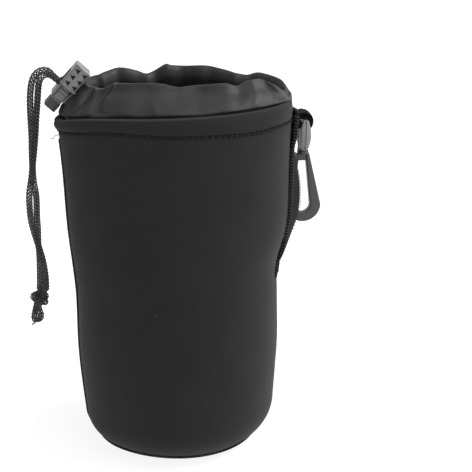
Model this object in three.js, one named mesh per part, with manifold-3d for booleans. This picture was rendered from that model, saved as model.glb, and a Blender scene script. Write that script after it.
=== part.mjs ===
// Drawstring lens pouch: foam body, nylon collar with a drawcord, cord lock,
// belt strap and swivel hook. Millimetres, +Z up, front towards -Y.
// The origin is the centre of the flat underside.

import * as THREE from 'three';
import { mergeVertices } from 'three/addons/utils/BufferGeometryUtils.js';
import Module from 'manifold-3d';

const wasm = await Module();
wasm.setup();

// Shared clearances

const gap = 0.3;               // between pieces that touch on the real pouch
const sag = 0.2;               // most that a faceted curve lies inside its true one
const overrun = 2;             // how far a cutting tool runs past what it cuts
const facet = 8;               // sides of a thin round section
const roundSides = 16;         // sides of a short round piece

// Pouch body sizes

const neckHeight = 166;        // underside to the top edge of the foam wall
const wall = 3.5;              // foam and its two skins
const baseRadius = 45;         // half width of the base, sides as well as front
const rimLeft = 56.2;          // half width of the top edge, left of the origin
const rimRight = 50.2;         // the same to the right
const rimDepth = 32;           // half depth of the top edge
const rimForward = 6;          // how far the top edge sits forward of the base
const rimTiltHeight = 1.9;     // rise of the right end of the top edge
const rimDropHeight = 4;       // dip of its left end, where the cord leaves
const cornerRound = 18;        // rounding between wall and base
const cornerRoundLeft = 9;     // the same where the left seam ends, pulled square
const hemDepth = 8;            // top edge down to the hem stitching
const hemRiseHeight = 2.4;     // the stitching climbs by this at the front left
const seamWidth = 5;           // overlocked side seams
const seamProud = 0.8;         // how far a seam stands out from the foam
const baseSeamWidth = 2.6;     // seam round the base panel, along the wall
const baseSeamThick = 4.8;     // the same through the wall
const baseSeamTurnShare = 0.36; // place of the base seam on the corner's quarter turn
const threadSize = 0.6;

// Shape of the wall: heights as shares of neckHeight, and at each height the
// share of the way from the base size to the size at the top edge.
const heightShare = [0, 0.11, 0.27, 0.45, 0.53, 0.66, 0.84, 1];
const leftWayShare = [0.18, 0.18, 0.36, 0.40, 0.49, 0.67, 0.80, 1];
const rightWayShare = [0, 0.10, 0.38, 0.20, 0.08, 0.95, 1.02, 1];
const depthWayShare = [0, 0.05, 0.18, 0.35, 0.44, 0.58, 0.80, 1];

// Collar sizes

const collarThick = 0.8;
const collarSewn = 13;         // depth of the collar's root below the top edge
const lipCentreX = 1.8;
const lipCentreY = -1;
const lipHalfX = 45.3;
const lipHalfY = 21;
const lipRise = 12;            // lip above the top edge, full rise
const collarPuff = 2.5;        // outward swell of the collar below its lip

// Height of the gathered lip as a share of its full rise, every 15 degrees round it
// from the right end, by way of the back.
const lipRiseShare = [
  0.7, 0.8, 0.87, 0.83, 0.88, 1.06, 1.06, 0.95, 0.97, 1.06, 0.93, 0.72,
  0.45, 0.5, 0.68, 0.95, 1.0, 1.0, 0.92, 1.0, 0.95, 1.04, 0.75, 0.64, 0.7,
];

// Cord sizes

const cordSize = 2.6;
const casingSlack = 0.5;       // between the cord and its casing
const cordSides = 8;
const mouthWidth = 8.2;        // opening of the casing where both cord ends leave
const mouthHeight = 3.6;
const mouthRise = 0.2;         // middle of the mouth above the cord in its casing

// Cord lock sizes: a runs along its plunger, c along the cord through it

const lockX = -51.4;           // centre of the cord hole
const lockY = -1;
const lockZ = 173.43;
const lockLean = 47.5;         // degrees, plunger axis above the horizontal
const lockLength = 17.4;
const lockWidth = 7.8;
const lockDepth = 12;
const lockWall = 1;
const lockCorner = 1.2;
const windowLength = 6.2;      // open front of the barrel, from its mouth
const flangeThick = 0.9;       // flange round the barrel where the window ends
const flangeProud = 0.5;
const slotLength = 9.2;        // cord hole of the barrel along its axis
const strandSpacing = 3.3;     // between the two cord centres
const holeLength = 4.6;        // cord hole along the plunger axis
const holeFromMouth = 4.0;     // lock mouth to the near edge of the cord hole
const pressTravel = 1.7;
const headLength = 6.2;        // plunger outside the lock at rest
const plungerTail = 1.7;       // solid plunger end beyond its hole
const ribCount = 4;
const ribCut = 0.5;
const springWire = 0.5;
const springSize = 4.2;
const springTurns = 5;

// Belt strap sizes

const strapWidth = 20;
const strapThick = 1.6;
const strapNearY = -12;        // edge of the strap nearest to the front
const strapDown = 3;           // top edge of the wall to the strap's top
const strapLength = 80;
const strapSewnTop = 9;        // length sewn down at each end of the strap
const strapSewnFoot = 8;
const strapSeat = 2 * gap + threadSize + sag; // clear of the hem stitching
const strapLoopRadius = 49.1;  // inner face of the loop from the middle, near edge
const strapSplayShare = 0.38;  // rise of the loop's face towards its rear edge
const tackHeight = 5;
const tackInset = 2;
const tackThick = 0.5;

// Hook tab and swivel hook sizes

const tabTurn = -3;            // degrees, direction of the tab seen from above
const tabWidth = 10;
const tabThick = 1.6;
const tabReach = 23.2;         // body surface to the eye's bar
const tabDrop = 0.6;           // tab root down to the eye's bar
const tabDown = 13;            // top edge of the wall to the middle of the tab's root
const tabPlateHeight = 8;
const tabRootY = 18.8;
const tabPlateWidth = 9;
const tabSeat = 4 * gap + 2 * threadSize + 2 * sag; // along x, clear of the stitching
const barSize = 2.4;
const eyeWidth = 15.6;
const eyeThick = 4.4;
const eyeRailWidth = 2.3;
const eyeNeckWidth = 9.2;
const barrelSize = 5.3;
const barrelHeight = 4.3;
const eyeHeight = 14.5;        // bar axis to the foot of the barrel
const pinSize = 2.2;
const pinHeadSize = 4;
const pinHeadThick = 1.2;
const collarSize = 5.6;
const collarHeight = 1.6;
const hookLength = 27.6;       // eye's foot to the centre of the bend
const hookPlate = 4.4;         // thickness of the hook
const hookBevel = 0.7;
const bendRadius = 8.7;        // outside of the bend
const bendInner = 4.1;         // inside of the bend
const bendOutX = 0.9;          // centres of the two, out from the pin
const bendInX = 0.1;
const spineInX = 1.1;          // inner and outer edge of the spine at the eye's foot
const spineOutX = 3;
const tipHeight = 2.4;         // the tip above the centre of the bend
const gateLugThick = 1.4;
const gateCheekThick = 0.9;
const gateForkWidth = 3.8;
const gatePinSize = 1.4;
const gatePivotDepth = 3.5;    // eye's foot to the gate's pin
const gatePivotWidth = 3.6;
const gateWidth = 2.6;
const gateKnuckle = 3.2;
const gateSpringWire = 0.4;
const gateSpringTurns = 3;

// Helpers for booleans

function toManifold(geometry) {
  const bare = geometry.clone();
  for (const name of ['normal', 'uv']) bare.deleteAttribute(name);
  const merged = mergeVertices(bare, 1e-4);
  return new wasm.Manifold(new wasm.Mesh({
    numProp: 3,
    vertProperties: new Float32Array(merged.attributes.position.array),
    triVerts: new Uint32Array(merged.index.array),
  }));
}

function toGeometry(solid) {
  const mesh = solid.getMesh();
  const geometry = new THREE.BufferGeometry();
  geometry.setAttribute('position', new THREE.BufferAttribute(mesh.vertProperties, 3));
  geometry.setIndex(new THREE.BufferAttribute(mesh.triVerts, 1));
  geometry.computeVertexNormals();
  return geometry;
}

function join(...geometries) {
  let solid = toManifold(geometries[0]);
  for (const other of geometries.slice(1)) solid = solid.add(toManifold(other));
  return toGeometry(solid);
}

function cut(geometry, ...tools) {
  let solid = toManifold(geometry);
  for (const tool of tools) solid = solid.subtract(toManifold(tool));
  return toGeometry(solid);
}

// Helpers for simple shapes

function box(sizeX, sizeY, sizeZ, x = 0, y = 0, z = 0) {
  return new THREE.BoxGeometry(sizeX, sizeY, sizeZ).translate(x, y, z);
}

function rod(size, length, axis, x = 0, y = 0, z = 0, sides = roundSides) {
  const geometry = new THREE.CylinderGeometry(size / 2, size / 2, length, sides);
  if (axis === 'z') geometry.rotateX(Math.PI / 2);
  if (axis === 'x') geometry.rotateZ(-Math.PI / 2);
  return geometry.translate(x, y, z);
}

function circleShape(size, sides) {
  const points = [];
  for (let i = 0; i < sides; i += 1) {
    const turn = (i / sides) * Math.PI * 2;
    points.push(new THREE.Vector2(Math.cos(turn), Math.sin(turn)).multiplyScalar(size / 2));
  }
  return new THREE.Shape(points);
}

function tube(points, size, steps, sides = cordSides) {
  const path = new THREE.CatmullRomCurve3(points, false, 'centripetal');
  return new THREE.ExtrudeGeometry(circleShape(size, sides), { steps, extrudePath: path });
}

function roundedShape(width, height, corner) {
  const w = width / 2;
  const h = height / 2;
  const shape = new THREE.Shape();
  shape.moveTo(-w + corner, -h);
  shape.lineTo(w - corner, -h);
  shape.quadraticCurveTo(w, -h, w, -h + corner);
  shape.lineTo(w, h - corner);
  shape.quadraticCurveTo(w, h, w - corner, h);
  shape.lineTo(-w + corner, h);
  shape.quadraticCurveTo(-w, h, -w, h - corner);
  shape.lineTo(-w, -h + corner);
  shape.quadraticCurveTo(-w, -h, -w + corner, -h);
  return shape;
}

function prism(shape, length, start, curveSegments = 3) {
  const settings = { depth: length, bevelEnabled: false, curveSegments };
  return new THREE.ExtrudeGeometry(shape, settings).translate(0, 0, start);
}

// Helpers for solids made from a grid of points

function indexed(points, triangles) {
  const geometry = new THREE.BufferGeometry();
  const flat = points.flatMap((p) => [p.x, p.y, p.z]);
  geometry.setAttribute('position', new THREE.Float32BufferAttribute(flat, 3));
  geometry.setIndex(triangles);
  return outward(geometry);
}

function outward(geometry) {
  const at = geometry.attributes.position;
  const index = geometry.index.array;
  const a = new THREE.Vector3();
  const b = new THREE.Vector3();
  const c = new THREE.Vector3();
  let volume = 0;
  for (let i = 0; i < index.length; i += 3) {
    a.fromBufferAttribute(at, index[i]);
    b.fromBufferAttribute(at, index[i + 1]);
    c.fromBufferAttribute(at, index[i + 2]);
    volume += a.dot(b.cross(c));
  }
  if (volume < 0) {
    for (let i = 0; i < index.length; i += 3) {
      [index[i + 1], index[i + 2]] = [index[i + 2], index[i + 1]];
    }
  }
  geometry.computeVertexNormals();
  return geometry;
}

// A band of ringAt(i) polygons, joined end to end when closed. Open ends are capped
// across the ring, from its first half to its second.
function ringSolid(ringAt, count, closed) {
  const points = [];
  const triangles = [];
  const rings = [];
  for (let i = 0; i < count; i += 1) rings.push(ringAt(i));
  const sides = rings[0].length;
  for (const ring of rings) points.push(...ring);
  const spans = closed ? count : count - 1;
  for (let i = 0; i < spans; i += 1) {
    const next = (i + 1) % count;
    for (let k = 0; k < sides; k += 1) {
      const a = i * sides + k;
      const b = i * sides + ((k + 1) % sides);
      const c = next * sides + k;
      const d = next * sides + ((k + 1) % sides);
      triangles.push(a, b, d, a, d, c);
    }
  }
  if (!closed) {
    const last = (count - 1) * sides;
    for (let k = 0; k < sides / 2 - 1; k += 1) {
      const m = sides - 1 - k;
      triangles.push(k, m, m - 1, k, m - 1, k + 1);
      triangles.push(last + k, last + m - 1, last + m, last + k, last + k + 1, last + m - 1);
    }
  }
  return indexed(points, triangles);
}

// A sheet with thickness: face(u, v, side) for u, v in 0..1, side 0 outer, 1 inner.
function slab(face, countU, countV) {
  return ringSolid((i) => {
    const u = i / countU;
    const ring = [];
    for (let k = 0; k <= countV; k += 1) ring.push(face(u, k / countV, 0));
    for (let k = countV; k >= 0; k -= 1) ring.push(face(u, k / countV, 1));
    return ring;
  }, countU + 1, false);
}

// Body surface

function smoothAt(places, values, place) {
  const last = places.length - 1;
  let i = 0;
  while (i < last - 1 && place > places[i + 1]) i += 1;
  const span = places[i + 1] - places[i];
  const slope = (k) => {
    const lo = Math.max(k - 1, 0);
    const hi = Math.min(k + 1, last);
    return (values[hi] - values[lo]) / (places[hi] - places[lo]);
  };
  const t = (place - places[i]) / span;
  const curve = 2 * t ** 3 - 3 * t ** 2;
  const rise = (t ** 3 - 2 * t ** 2 + t) * slope(i) + (t ** 3 - t ** 2) * slope(i + 1);
  return values[i] * (curve + 1) - values[i + 1] * curve + span * rise;
}

function reach(z, wayShare, rim) {
  const way = smoothAt(heightShare, wayShare, z / neckHeight);
  return baseRadius + (rim - baseRadius) * way;
}

const leftAt = (z) => reach(z, leftWayShare, rimLeft);
const rightAt = (z) => reach(z, rightWayShare, rimRight);
const depthAt = (z) => reach(z, depthWayShare, rimDepth);

function roundAt(turn) {
  const left = Math.max(0, -Math.cos(turn)) ** 4;
  return cornerRound + (cornerRoundLeft - cornerRound) * left;
}

// Point of the wall at height z, inset from its outer face.
function wallPoint(turn, z, inset) {
  const side = Math.cos(turn) > 0 ? rightAt(z) : leftAt(z);
  const rise = (z / neckHeight) ** 2;
  const dip = (z / neckHeight) ** 20 * Math.max(0, -Math.cos(turn)) ** 6;
  return new THREE.Vector3(
    (side - inset) * Math.cos(turn),
    (depthAt(z) - inset) * Math.sin(turn) - rimForward * rise,
    z + rimTiltHeight * rise * Math.cos(turn) - rimDropHeight * dip,
  );
}

// Point of the rounded corner: way 0 at the flat base, 1 at the wall's foot.
function cornerPoint(turn, way, inset) {
  const round = roundAt(turn);
  const angle = (way * Math.PI) / 2;
  const foot = wallPoint(turn, round, inset + (round - inset) * (1 - Math.sin(angle)));
  foot.z += (inset - round) * Math.cos(angle);
  return foot;
}

// Way along the corner that lies a distance past the base seam's middle.
function seamWay(turn, distance) {
  return baseSeamTurnShare + distance / (roundAt(turn) * (Math.PI / 2));
}

const halfSeamGap = baseSeamWidth / 2 + gap;

// Rows of the wall from the base seam to the top edge; row runs 0..1.
function bodyPoint(turn, row, inset) {
  const cornerRows = 0.15;
  if (row < cornerRows) {
    const from = seamWay(turn, halfSeamGap);
    return cornerPoint(turn, from + (1 - from) * (row / cornerRows), inset);
  }
  const round = roundAt(turn);
  const part = (row - cornerRows) / (1 - cornerRows);
  return wallPoint(turn, round + (neckHeight - round) * part, inset);
}

function rowHeight(turn, row) {
  return bodyPoint(turn, row, 0).z;
}

// Turn of a panel's edge: a constant distance from the seam's middle line.
function edgeTurn(row, distance) {
  return Math.asin(distance / depthAt(Math.max(rowHeight(0, row), 0)));
}

// Foam panels and their seams

function panel(startTurn) {
  return slab((u, v, side) => {
    const edge = edgeTurn(u, seamWidth / 2);
    const turn = startTurn + edge + (Math.PI - 2 * edge) * v;
    return bodyPoint(turn, u, side * wall);
  }, 13, 26);
}

// The seam lies flat inside the turned hem.
const seamEnd = neckHeight - hemDepth - 2 * seamWidth;

function sideSeam(middle) {
  const half = seamWidth / 2 - gap;
  return slab((u, v, side) => {
    const edge = edgeTurn(u, half);
    const crown = rowHeight(middle, u) < seamEnd ? Math.sin(Math.PI * (0.15 + 0.7 * v)) : 0;
    return bodyPoint(middle + edge * (2 * v - 1), u, side ? wall : -seamProud * crown);
  }, 13, 3);
}

function basePanel() {
  const turns = 44;
  const points = [new THREE.Vector3(), new THREE.Vector3(0, 0, wall)];
  const triangles = [];
  const ways = [0, 0.5, 1];
  const sides = ways.length * 2;
  for (let i = 0; i < turns; i += 1) {
    const turn = (i / turns) * Math.PI * 2;
    const end = seamWay(turn, -halfSeamGap);
    for (const way of ways) points.push(cornerPoint(turn, way * end, 0));
    for (const way of [...ways].reverse()) points.push(cornerPoint(turn, way * end, wall));
  }
  for (let i = 0; i < turns; i += 1) {
    const here = 2 + i * sides;
    const next = 2 + ((i + 1) % turns) * sides;
    triangles.push(0, next, here, 1, here + sides - 1, next + sides - 1);
    for (let k = 0; k < sides - 1; k += 1) {
      triangles.push(here + k, next + k, next + k + 1);
      triangles.push(here + k, next + k + 1, here + k + 1);
    }
  }
  return indexed(points, triangles);
}

function baseSeam() {
  const turns = 44;
  return ringSolid((i) => {
    const turn = (i / turns) * Math.PI * 2;
    const ring = [];
    for (let k = 0; k < facet; k += 1) {
      const angle = (k / facet) * Math.PI * 2;
      const along = seamWay(turn, (baseSeamWidth / 2) * Math.cos(angle));
      const inset = wall / 2 + (baseSeamThick / 2) * Math.sin(angle);
      ring.push(cornerPoint(turn, along, inset));
    }
    return ring;
  }, turns, true);
}

function stitchHeight(turn) {
  const climb = Math.max(0, -Math.sin(turn + Math.PI / 4)) ** 4;
  return neckHeight - hemDepth + hemRiseHeight * climb;
}

function hemStitching() {
  const turns = 72;
  const sides = 5;
  const proud = gap + threadSize / 2;
  return ringSolid((i) => {
    const turn = (i / turns) * Math.PI * 2;
    const ring = [];
    for (let k = 0; k < sides; k += 1) {
      const angle = (k / sides) * Math.PI * 2;
      const point = wallPoint(turn, stitchHeight(turn), -proud);
      const n = new THREE.Vector3(Math.cos(turn), Math.sin(turn), 0);
      point.addScaledVector(n, (threadSize / 2) * Math.cos(angle));
      point.z += (threadSize / 2) * Math.sin(angle);
      ring.push(point);
    }
    return ring;
  }, turns, true);
}

// Collar with the casing of the drawcord

const casingRadius = cordSize / 2 + casingSlack + collarThick / 2;
const cordInset = casingRadius + collarThick / 2;

function lipHeight(turn) {
  const steps = lipRiseShare.map((share, i) => i);
  const way = turn / (Math.PI * 2);
  const place = (way - Math.floor(way)) * (lipRiseShare.length - 1);
  return neckHeight + lipRise * smoothAt(steps, lipRiseShare, place);
}

function inwardAt(turn) {
  return new THREE.Vector3(-Math.cos(turn) / lipHalfX, -Math.sin(turn) / lipHalfY, 0).normalize();
}

// Point of the collar: way 0 at its sewn root, 1 at the lip, pushed inwards.
function collarPoint(turn, way, inwards, z) {
  const foot = Math.min(z, neckHeight);
  const root = wallPoint(turn, foot, wall + gap + collarThick / 2);
  const lip = new THREE.Vector3(
    lipCentreX + lipHalfX * Math.cos(turn),
    lipCentreY + lipHalfY * Math.sin(turn),
    0,
  );
  const lift = root.z - foot;
  const point = root.lerp(lip, way).addScaledVector(inwardAt(turn), inwards);
  point.z = z + lift * (1 - way);
  return point;
}

// Middle line of the collar's section, as [way, inwards, z] places.
function collarLine(turn) {
  const top = lipHeight(turn);
  const cordZ = top - casingRadius;
  const puff = collarPuff * (1 - 0.9 * Math.max(0, -Math.cos(turn)) ** 3);
  const line = [
    [0, 0, neckHeight - collarSewn],
    [0, 0, neckHeight - collarSewn / 2],
    [0, 0, neckHeight + collarThick / 2 + gap],
    [0.2, -puff * 0.6, neckHeight + collarThick + gap + (cordZ - neckHeight) * 0.25],
    [0.65, -puff, neckHeight + (cordZ - neckHeight) * 0.55],
  ];
  for (const degrees of [180, 132, 84, 36, -12, -62, -112]) {
    const angle = (degrees * Math.PI) / 180;
    line.push([
      1,
      casingRadius + casingRadius * Math.cos(angle),
      cordZ + casingRadius * Math.sin(angle),
    ]);
  }
  return line;
}

function collarRing(turn) {
  const middle = collarLine(turn).map((p) => collarPoint(turn, ...p));
  const inwards = inwardAt(turn);
  const up = new THREE.Vector3(0, 0, 1);
  const sideOf = middle.map((p, i) => {
    const a = middle[Math.max(i - 1, 0)];
    const b = middle[Math.min(i + 1, middle.length - 1)];
    const step = b.clone().sub(a);
    const along = new THREE.Vector2(step.dot(inwards), step.z).normalize();
    return inwards.clone().multiplyScalar(-along.y).addScaledVector(up, along.x);
  });
  const outer = middle.map((p, i) => p.clone().addScaledVector(sideOf[i], collarThick / 2));
  const inner = middle.map((p, i) => p.clone().addScaledVector(sideOf[i], -collarThick / 2));
  return [...outer, ...inner.reverse()];
}

function cordCentre(turn) {
  return collarPoint(turn, 1, casingRadius, lipHeight(turn) - casingRadius);
}

const gathers = 56;            // flat faces round the collar and the cord in it
const gatherTurn = (Math.PI * 2) / gathers;

function collar() {
  const ring = ringSolid((i) => collarRing(i * gatherTurn), gathers, true);
  const mouth = cordCentre(Math.PI);
  const reachOut = casingRadius + collarThick + overrun;
  const tool = box(reachOut, mouthWidth, mouthHeight, 0, 0, 0);
  tool.translate(mouth.x - reachOut / 2, mouth.y, mouth.z + mouthRise);
  return cut(ring, tool);
}

// The cord in the casing keeps to the collar's own faces, clear of its mouth.
function drawcordLoop() {
  const clear = Math.ceil(Math.asin((mouthWidth / 2 + cordSize) / lipHalfY) / gatherTurn);
  return ringSolid((i) => {
    const turn = Math.PI + (clear + i) * gatherTurn;
    const ring = [];
    for (let k = 0; k < cordSides; k += 1) {
      const angle = (k / cordSides) * Math.PI * 2;
      const point = cordCentre(turn).addScaledVector(inwardAt(turn), (cordSize / 2) * Math.cos(angle));
      point.z += (cordSize / 2) * Math.sin(angle);
      ring.push(point);
    }
    return ring;
  }, gathers - 2 * clear + 1, false);
}

// Free cord strands, by hand: x, height, and how far round each other they have
// turned, in degrees, starting side by side in the lock.
const strandRoute = [
  [-43.4, 169.25, -90],
  [-45.6, 169.38, -90],
  [-47.72, 170.05, -90],
  [-51.4, 173.43, -90],
  [-55.09, 176.81, -90],
  [-56.19, 177.82, -90],
  [-57.37, 178.9, -90],
  [-59.2, 180.1, -74],
  [-61.2, 180.2, -58],
  [-63.2, 179.0, -40],
  [-64.6, 176.7, -26],
  [-65.4, 173.0, -10],
  [-65.9, 168.0, 12],
  [-66.4, 160.0, 44],
  [-66.7, 152.0, 62],
  [-67.2, 145.0, 74],
  [-67.7, 137.9, 90],
  [-68.1, 130.0, 114],
  [-68.3, 121.2, 178],
  [-68.2, 112.5, 212],
  [-67.5, 106.0, 240],
  [-66.8, 100.2, 270],
  [-65.9, 94.0, 292],
  [-65.5, 89.0, 309],
  [-65.3, 82.0, 328],
  [-65.5, 76.9, 335],
];

function strand(half) {
  const steps = 58;
  const last = strandRoute.length - 1;
  const apart = (half * strandSpacing) / 2;
  const points = strandRoute.map(([x, z, turned], i) => {
    const [beforeX, beforeZ] = strandRoute[Math.max(i - 1, 0)];
    const [afterX, afterZ] = strandRoute[Math.min(i + 1, last)];
    const sideways = new THREE.Vector3(beforeZ - afterZ, 0, afterX - beforeX).normalize();
    const angle = (turned * Math.PI) / 180;
    const point = new THREE.Vector3(x, lockY + apart * Math.sin(angle), z);
    return point.addScaledVector(sideways, apart * Math.cos(angle));
  });
  return tube(points, cordSize, steps);
}

// Knot of the two strands with its trimmed ends

const knotX = -66.8;
const knotZ = 72.6;
const knotWidth = 8.4;
const knotHeight = 7.4;
const tailX = -68.4;
const tailZ = 64.8;
const tailWidth = 6.0;
const tailHeight = 11.2;

function ball(x, z, width, depth, height) {
  const geometry = new THREE.SphereGeometry(1, 14, 10).rotateX(Math.PI / 2);
  return geometry.scale(width / 2, depth / 2, height / 2).translate(x, lockY, z);
}

function knot() {
  const head = ball(knotX, knotZ, knotWidth, knotWidth, knotHeight);
  const tail = ball(tailX, tailZ, tailWidth, tailWidth, tailHeight);
  return join(head, tail);
}

// Cord lock, in its own frame: x along the plunger from the mouth inwards,
// y as in the part, z along the cord

const slotDepth = strandSpacing + cordSize + 2 * gap;
const plungerWidth = lockWidth - 2 * (lockWall + gap);
const plungerDepth = lockDepth - 2 * (lockWall + gap);
const holeAtRest = holeFromMouth - pressTravel;
const plungerEnd = holeAtRest + holeLength + plungerTail;
// The cord runs where the two holes overlap while the plunger is out.
const cordAlong = (holeFromMouth + holeAtRest + holeLength) / 2;
const boreEnd = lockLength - lockWall;

function alongX(geometry) {
  return geometry.rotateY(Math.PI / 2);
}

function lockBarrel() {
  const shell = alongX(prism(roundedShape(lockWidth, lockDepth, lockCorner), lockLength, 0));
  const wide = lockWidth + 2 * flangeProud;
  const deep = lockDepth + 2 * flangeProud;
  const flange = alongX(prism(roundedShape(wide, deep, lockCorner), flangeThick, windowLength));
  const boreLength = boreEnd + overrun;
  const bore = box(boreLength, lockDepth - 2 * lockWall, lockWidth - 2 * lockWall);
  bore.translate(boreEnd - boreLength / 2, 0, 0);
  const cross = box(slotLength, slotDepth, lockWidth + 2 * overrun);
  cross.translate(holeFromMouth + slotLength / 2, 0, 0);
  const window = box(windowLength + overrun, lockDepth, lockWidth - 2 * lockWall);
  window.translate((windowLength - overrun) / 2, -lockDepth / 2 + lockWall - overrun / 2, 0);
  return cut(join(shell, flange), bore, cross, window);
}

function lockPlunger() {
  const length = headLength + plungerEnd;
  const block = box(length, plungerDepth, plungerWidth, plungerEnd - length / 2, 0, 0);
  const hole = box(holeLength, slotDepth, plungerWidth + 2 * overrun);
  hole.translate(holeAtRest + holeLength / 2, 0, 0);
  const cuts = [];
  const pitch = (headLength - gap) / ribCount;
  for (let i = 0; i < ribCount; i += 1) {
    for (const face of [-1, 1]) {
      const x = -headLength + pitch * (i + 0.75);
      const y = face * (plungerDepth / 2 + overrun / 2 - ribCut);
      cuts.push(box(pitch / 2, overrun, plungerWidth + 2 * overrun, x, y, 0));
    }
  }
  return cut(block, hole, ...cuts);
}

function coil(size, wire, turns, length, stepsPerTurn, sides) {
  const points = [];
  const steps = turns * stepsPerTurn;
  for (let i = 0; i <= steps; i += 1) {
    const turn = (i / stepsPerTurn) * Math.PI * 2;
    points.push(new THREE.Vector3(
      (i / steps) * length,
      (size / 2 - wire / 2) * Math.cos(turn),
      (size / 2 - wire / 2) * Math.sin(turn),
    ));
  }
  return tube(points, wire, steps, sides);
}

const springStart = plungerEnd + gap + springWire / 2;
const springLength = boreEnd - gap - springWire / 2 - springStart;

function lockSpring() {
  const wound = coil(springSize, springWire, springTurns, springLength, 8, 5);
  return wound.translate(springStart, 0, 0);
}

// Belt strap and its tacks

const strapTop = neckHeight - strapDown;
const strapBottom = strapTop - strapLength;
const gapTop = strapTop - strapSewnTop;
const gapBottom = strapBottom + strapSewnFoot;

// x of the outer body face, at height z and side position y.
function flankX(z, y) {
  const rise = (z / neckHeight) ** 2;
  const across = (y + rimForward * rise) / depthAt(z);
  return rightAt(z) * Math.sqrt(Math.max(1 - across ** 2, 0));
}

// Share of the full bulge of the belt loop at height z.
function loopShare(z) {
  if (z >= gapTop || z <= gapBottom) return 0;
  return Math.sin(Math.PI * ((gapTop - z) / (gapTop - gapBottom)) ** 1.3) ** 0.7;
}

function strapX(z, y) {
  const seated = flankX(z, y) + strapSeat;
  const flat = strapLoopRadius + strapSplayShare * (y - strapNearY);
  return seated + (Math.max(flat, seated) - seated) * loopShare(z);
}

function strapSheet(top, bottom, nearY, farY, inner, outer, countU, countV) {
  return slab((u, v, side) => {
    const z = top + (bottom - top) * u;
    const y = nearY + (farY - nearY) * v;
    return new THREE.Vector3(strapX(z, y) + (side ? inner : outer), y, z);
  }, countU, countV);
}

const strapFarY = strapNearY + strapWidth;

function strap() {
  return strapSheet(strapTop, strapBottom, strapNearY, strapFarY, 0, strapThick, 20, 4);
}

function strapTack(top) {
  const inner = strapThick + gap + sag;
  const near = strapNearY + tackInset;
  const far = strapFarY - tackInset;
  return strapSheet(top, top - tackHeight, near, far, inner, inner + tackThick, 2, 4);
}

// Hook tab, in the frame of its root: x straight out, z up

const tabRootHeight = neckHeight - tabDown;
const rootX = flankX(tabRootHeight, tabRootY) + tabSeat;
const rootFrame = new THREE.Matrix4().makeRotationZ((tabTurn * Math.PI) / 180);
rootFrame.setPosition(rootX, tabRootY, tabRootHeight);
const tabTail = new THREE.Vector2(tabReach, -tabDrop);
const loopInner = barSize / 2 + gap;
const loopOuter = loopInner + tabThick;

function teardrop(radius, rootHalf, rootX) {
  const shape = new THREE.Shape();
  const lean = Math.atan2(tabTail.y, tabTail.x);
  shape.moveTo(rootX, rootHalf + tabTail.y * (rootX / tabTail.x));
  shape.lineTo(rootX, -rootHalf + tabTail.y * (rootX / tabTail.x));
  const steps = 8;
  for (let i = 0; i <= steps; i += 1) {
    const turn = lean - Math.PI * 0.55 + (Math.PI * 1.1 * i) / steps;
    const x = tabTail.x + radius * Math.cos(turn);
    shape.lineTo(x, tabTail.y + radius * Math.sin(turn));
  }
  return shape;
}

function standing(geometry) {
  return geometry.rotateX(Math.PI / 2);
}

// A sheet on the body's flank at the tab's root, between two offsets from it.
function tabSheet(top, height, width, inner, outer, countV) {
  return slab((u, v, side) => {
    const z = top - height * u;
    const y = tabRootY + width * (v - 0.5);
    return new THREE.Vector3(flankX(z, y) + tabSeat + (side ? inner : outer), y, z);
  }, 2, countV);
}

const tabTop = tabRootHeight + tabPlateHeight / 2;

function hookTab() {
  const outerShape = teardrop(loopOuter, tabThick, -tabReach / 3);
  const innerShape = teardrop(loopInner, tabThick * 0.15, tabReach * 0.45);
  const solid = standing(prism(outerShape, tabWidth, -tabWidth / 2));
  const hollow = standing(prism(innerShape, tabWidth + 2 * overrun, -tabWidth / 2 - overrun));
  const loop = cut(solid, hollow).applyMatrix4(rootFrame);
  const inside = tabSheet(tabTop + overrun, tabPlateHeight * 2, tabWidth * 3, -tabReach, 0, 24);
  const plate = tabSheet(tabTop, tabPlateHeight, tabPlateWidth, 0, tabThick, 6);
  return join(cut(loop, inside), plate);
}

function tabTack() {
  const height = tabPlateHeight / 2 - 2 * tabThick - gap;
  const inner = tabThick + 2 * (gap + sag);
  return tabSheet(tabTop, height, tabPlateWidth - tackInset, inner, inner + tackThick, 4);
}

// Eye of the swivel hook, in the frame of its bar: y along the bar, z up

const barrelTop = -eyeHeight + barrelHeight;

function eyeOutline(inset) {
  const shape = new THREE.Shape();
  const top = barSize / 2 - inset;
  const side = eyeWidth / 2 - inset;
  const neck = eyeNeckWidth / 2 - inset;
  const low = inset ? barrelTop : barrelTop - barrelHeight / 2;
  const waist = (barrelTop + barSize) / 2;
  shape.moveTo(-side, top);
  shape.lineTo(side, top);
  shape.lineTo(side, waist);
  shape.lineTo(neck, low);
  shape.lineTo(-neck, low);
  shape.lineTo(-side, waist);
  return shape;
}

function hookEye() {
  const turned = (shape, thick) => {
    const geometry = prism(shape, thick, -thick / 2);
    return geometry.rotateX(Math.PI / 2).rotateZ(Math.PI / 2);
  };
  const frame = turned(eyeOutline(0), eyeThick);
  const windowCut = turned(eyeOutline(eyeRailWidth), eyeThick + 2 * overrun);
  const barBack = box(eyeThick, eyeWidth, eyeRailWidth, 0, 0, barSize / 2 - eyeRailWidth / 2);
  const barrel = rod(barrelSize, barrelHeight, 'z', 0, 0, barrelTop - barrelHeight / 2);
  const bore = rod(pinSize + 2 * gap, eyeHeight, 'z', 0, 0, barrelTop - barrelHeight / 2);
  return cut(join(cut(frame, windowCut, barBack), bar(), barrel), bore);
}

function bar() {
  return rod(barSize, eyeWidth - eyeRailWidth, 'y');
}

// Hook and gate, in a frame at the eye's foot: z up, the bend in the x-z plane

const bendZ = -hookLength;
const pivotX = -gatePivotWidth;
const pivotZ = -gatePivotDepth;
const tipX = (bendOutX - bendRadius + bendInX - bendInner) / 2;

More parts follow.
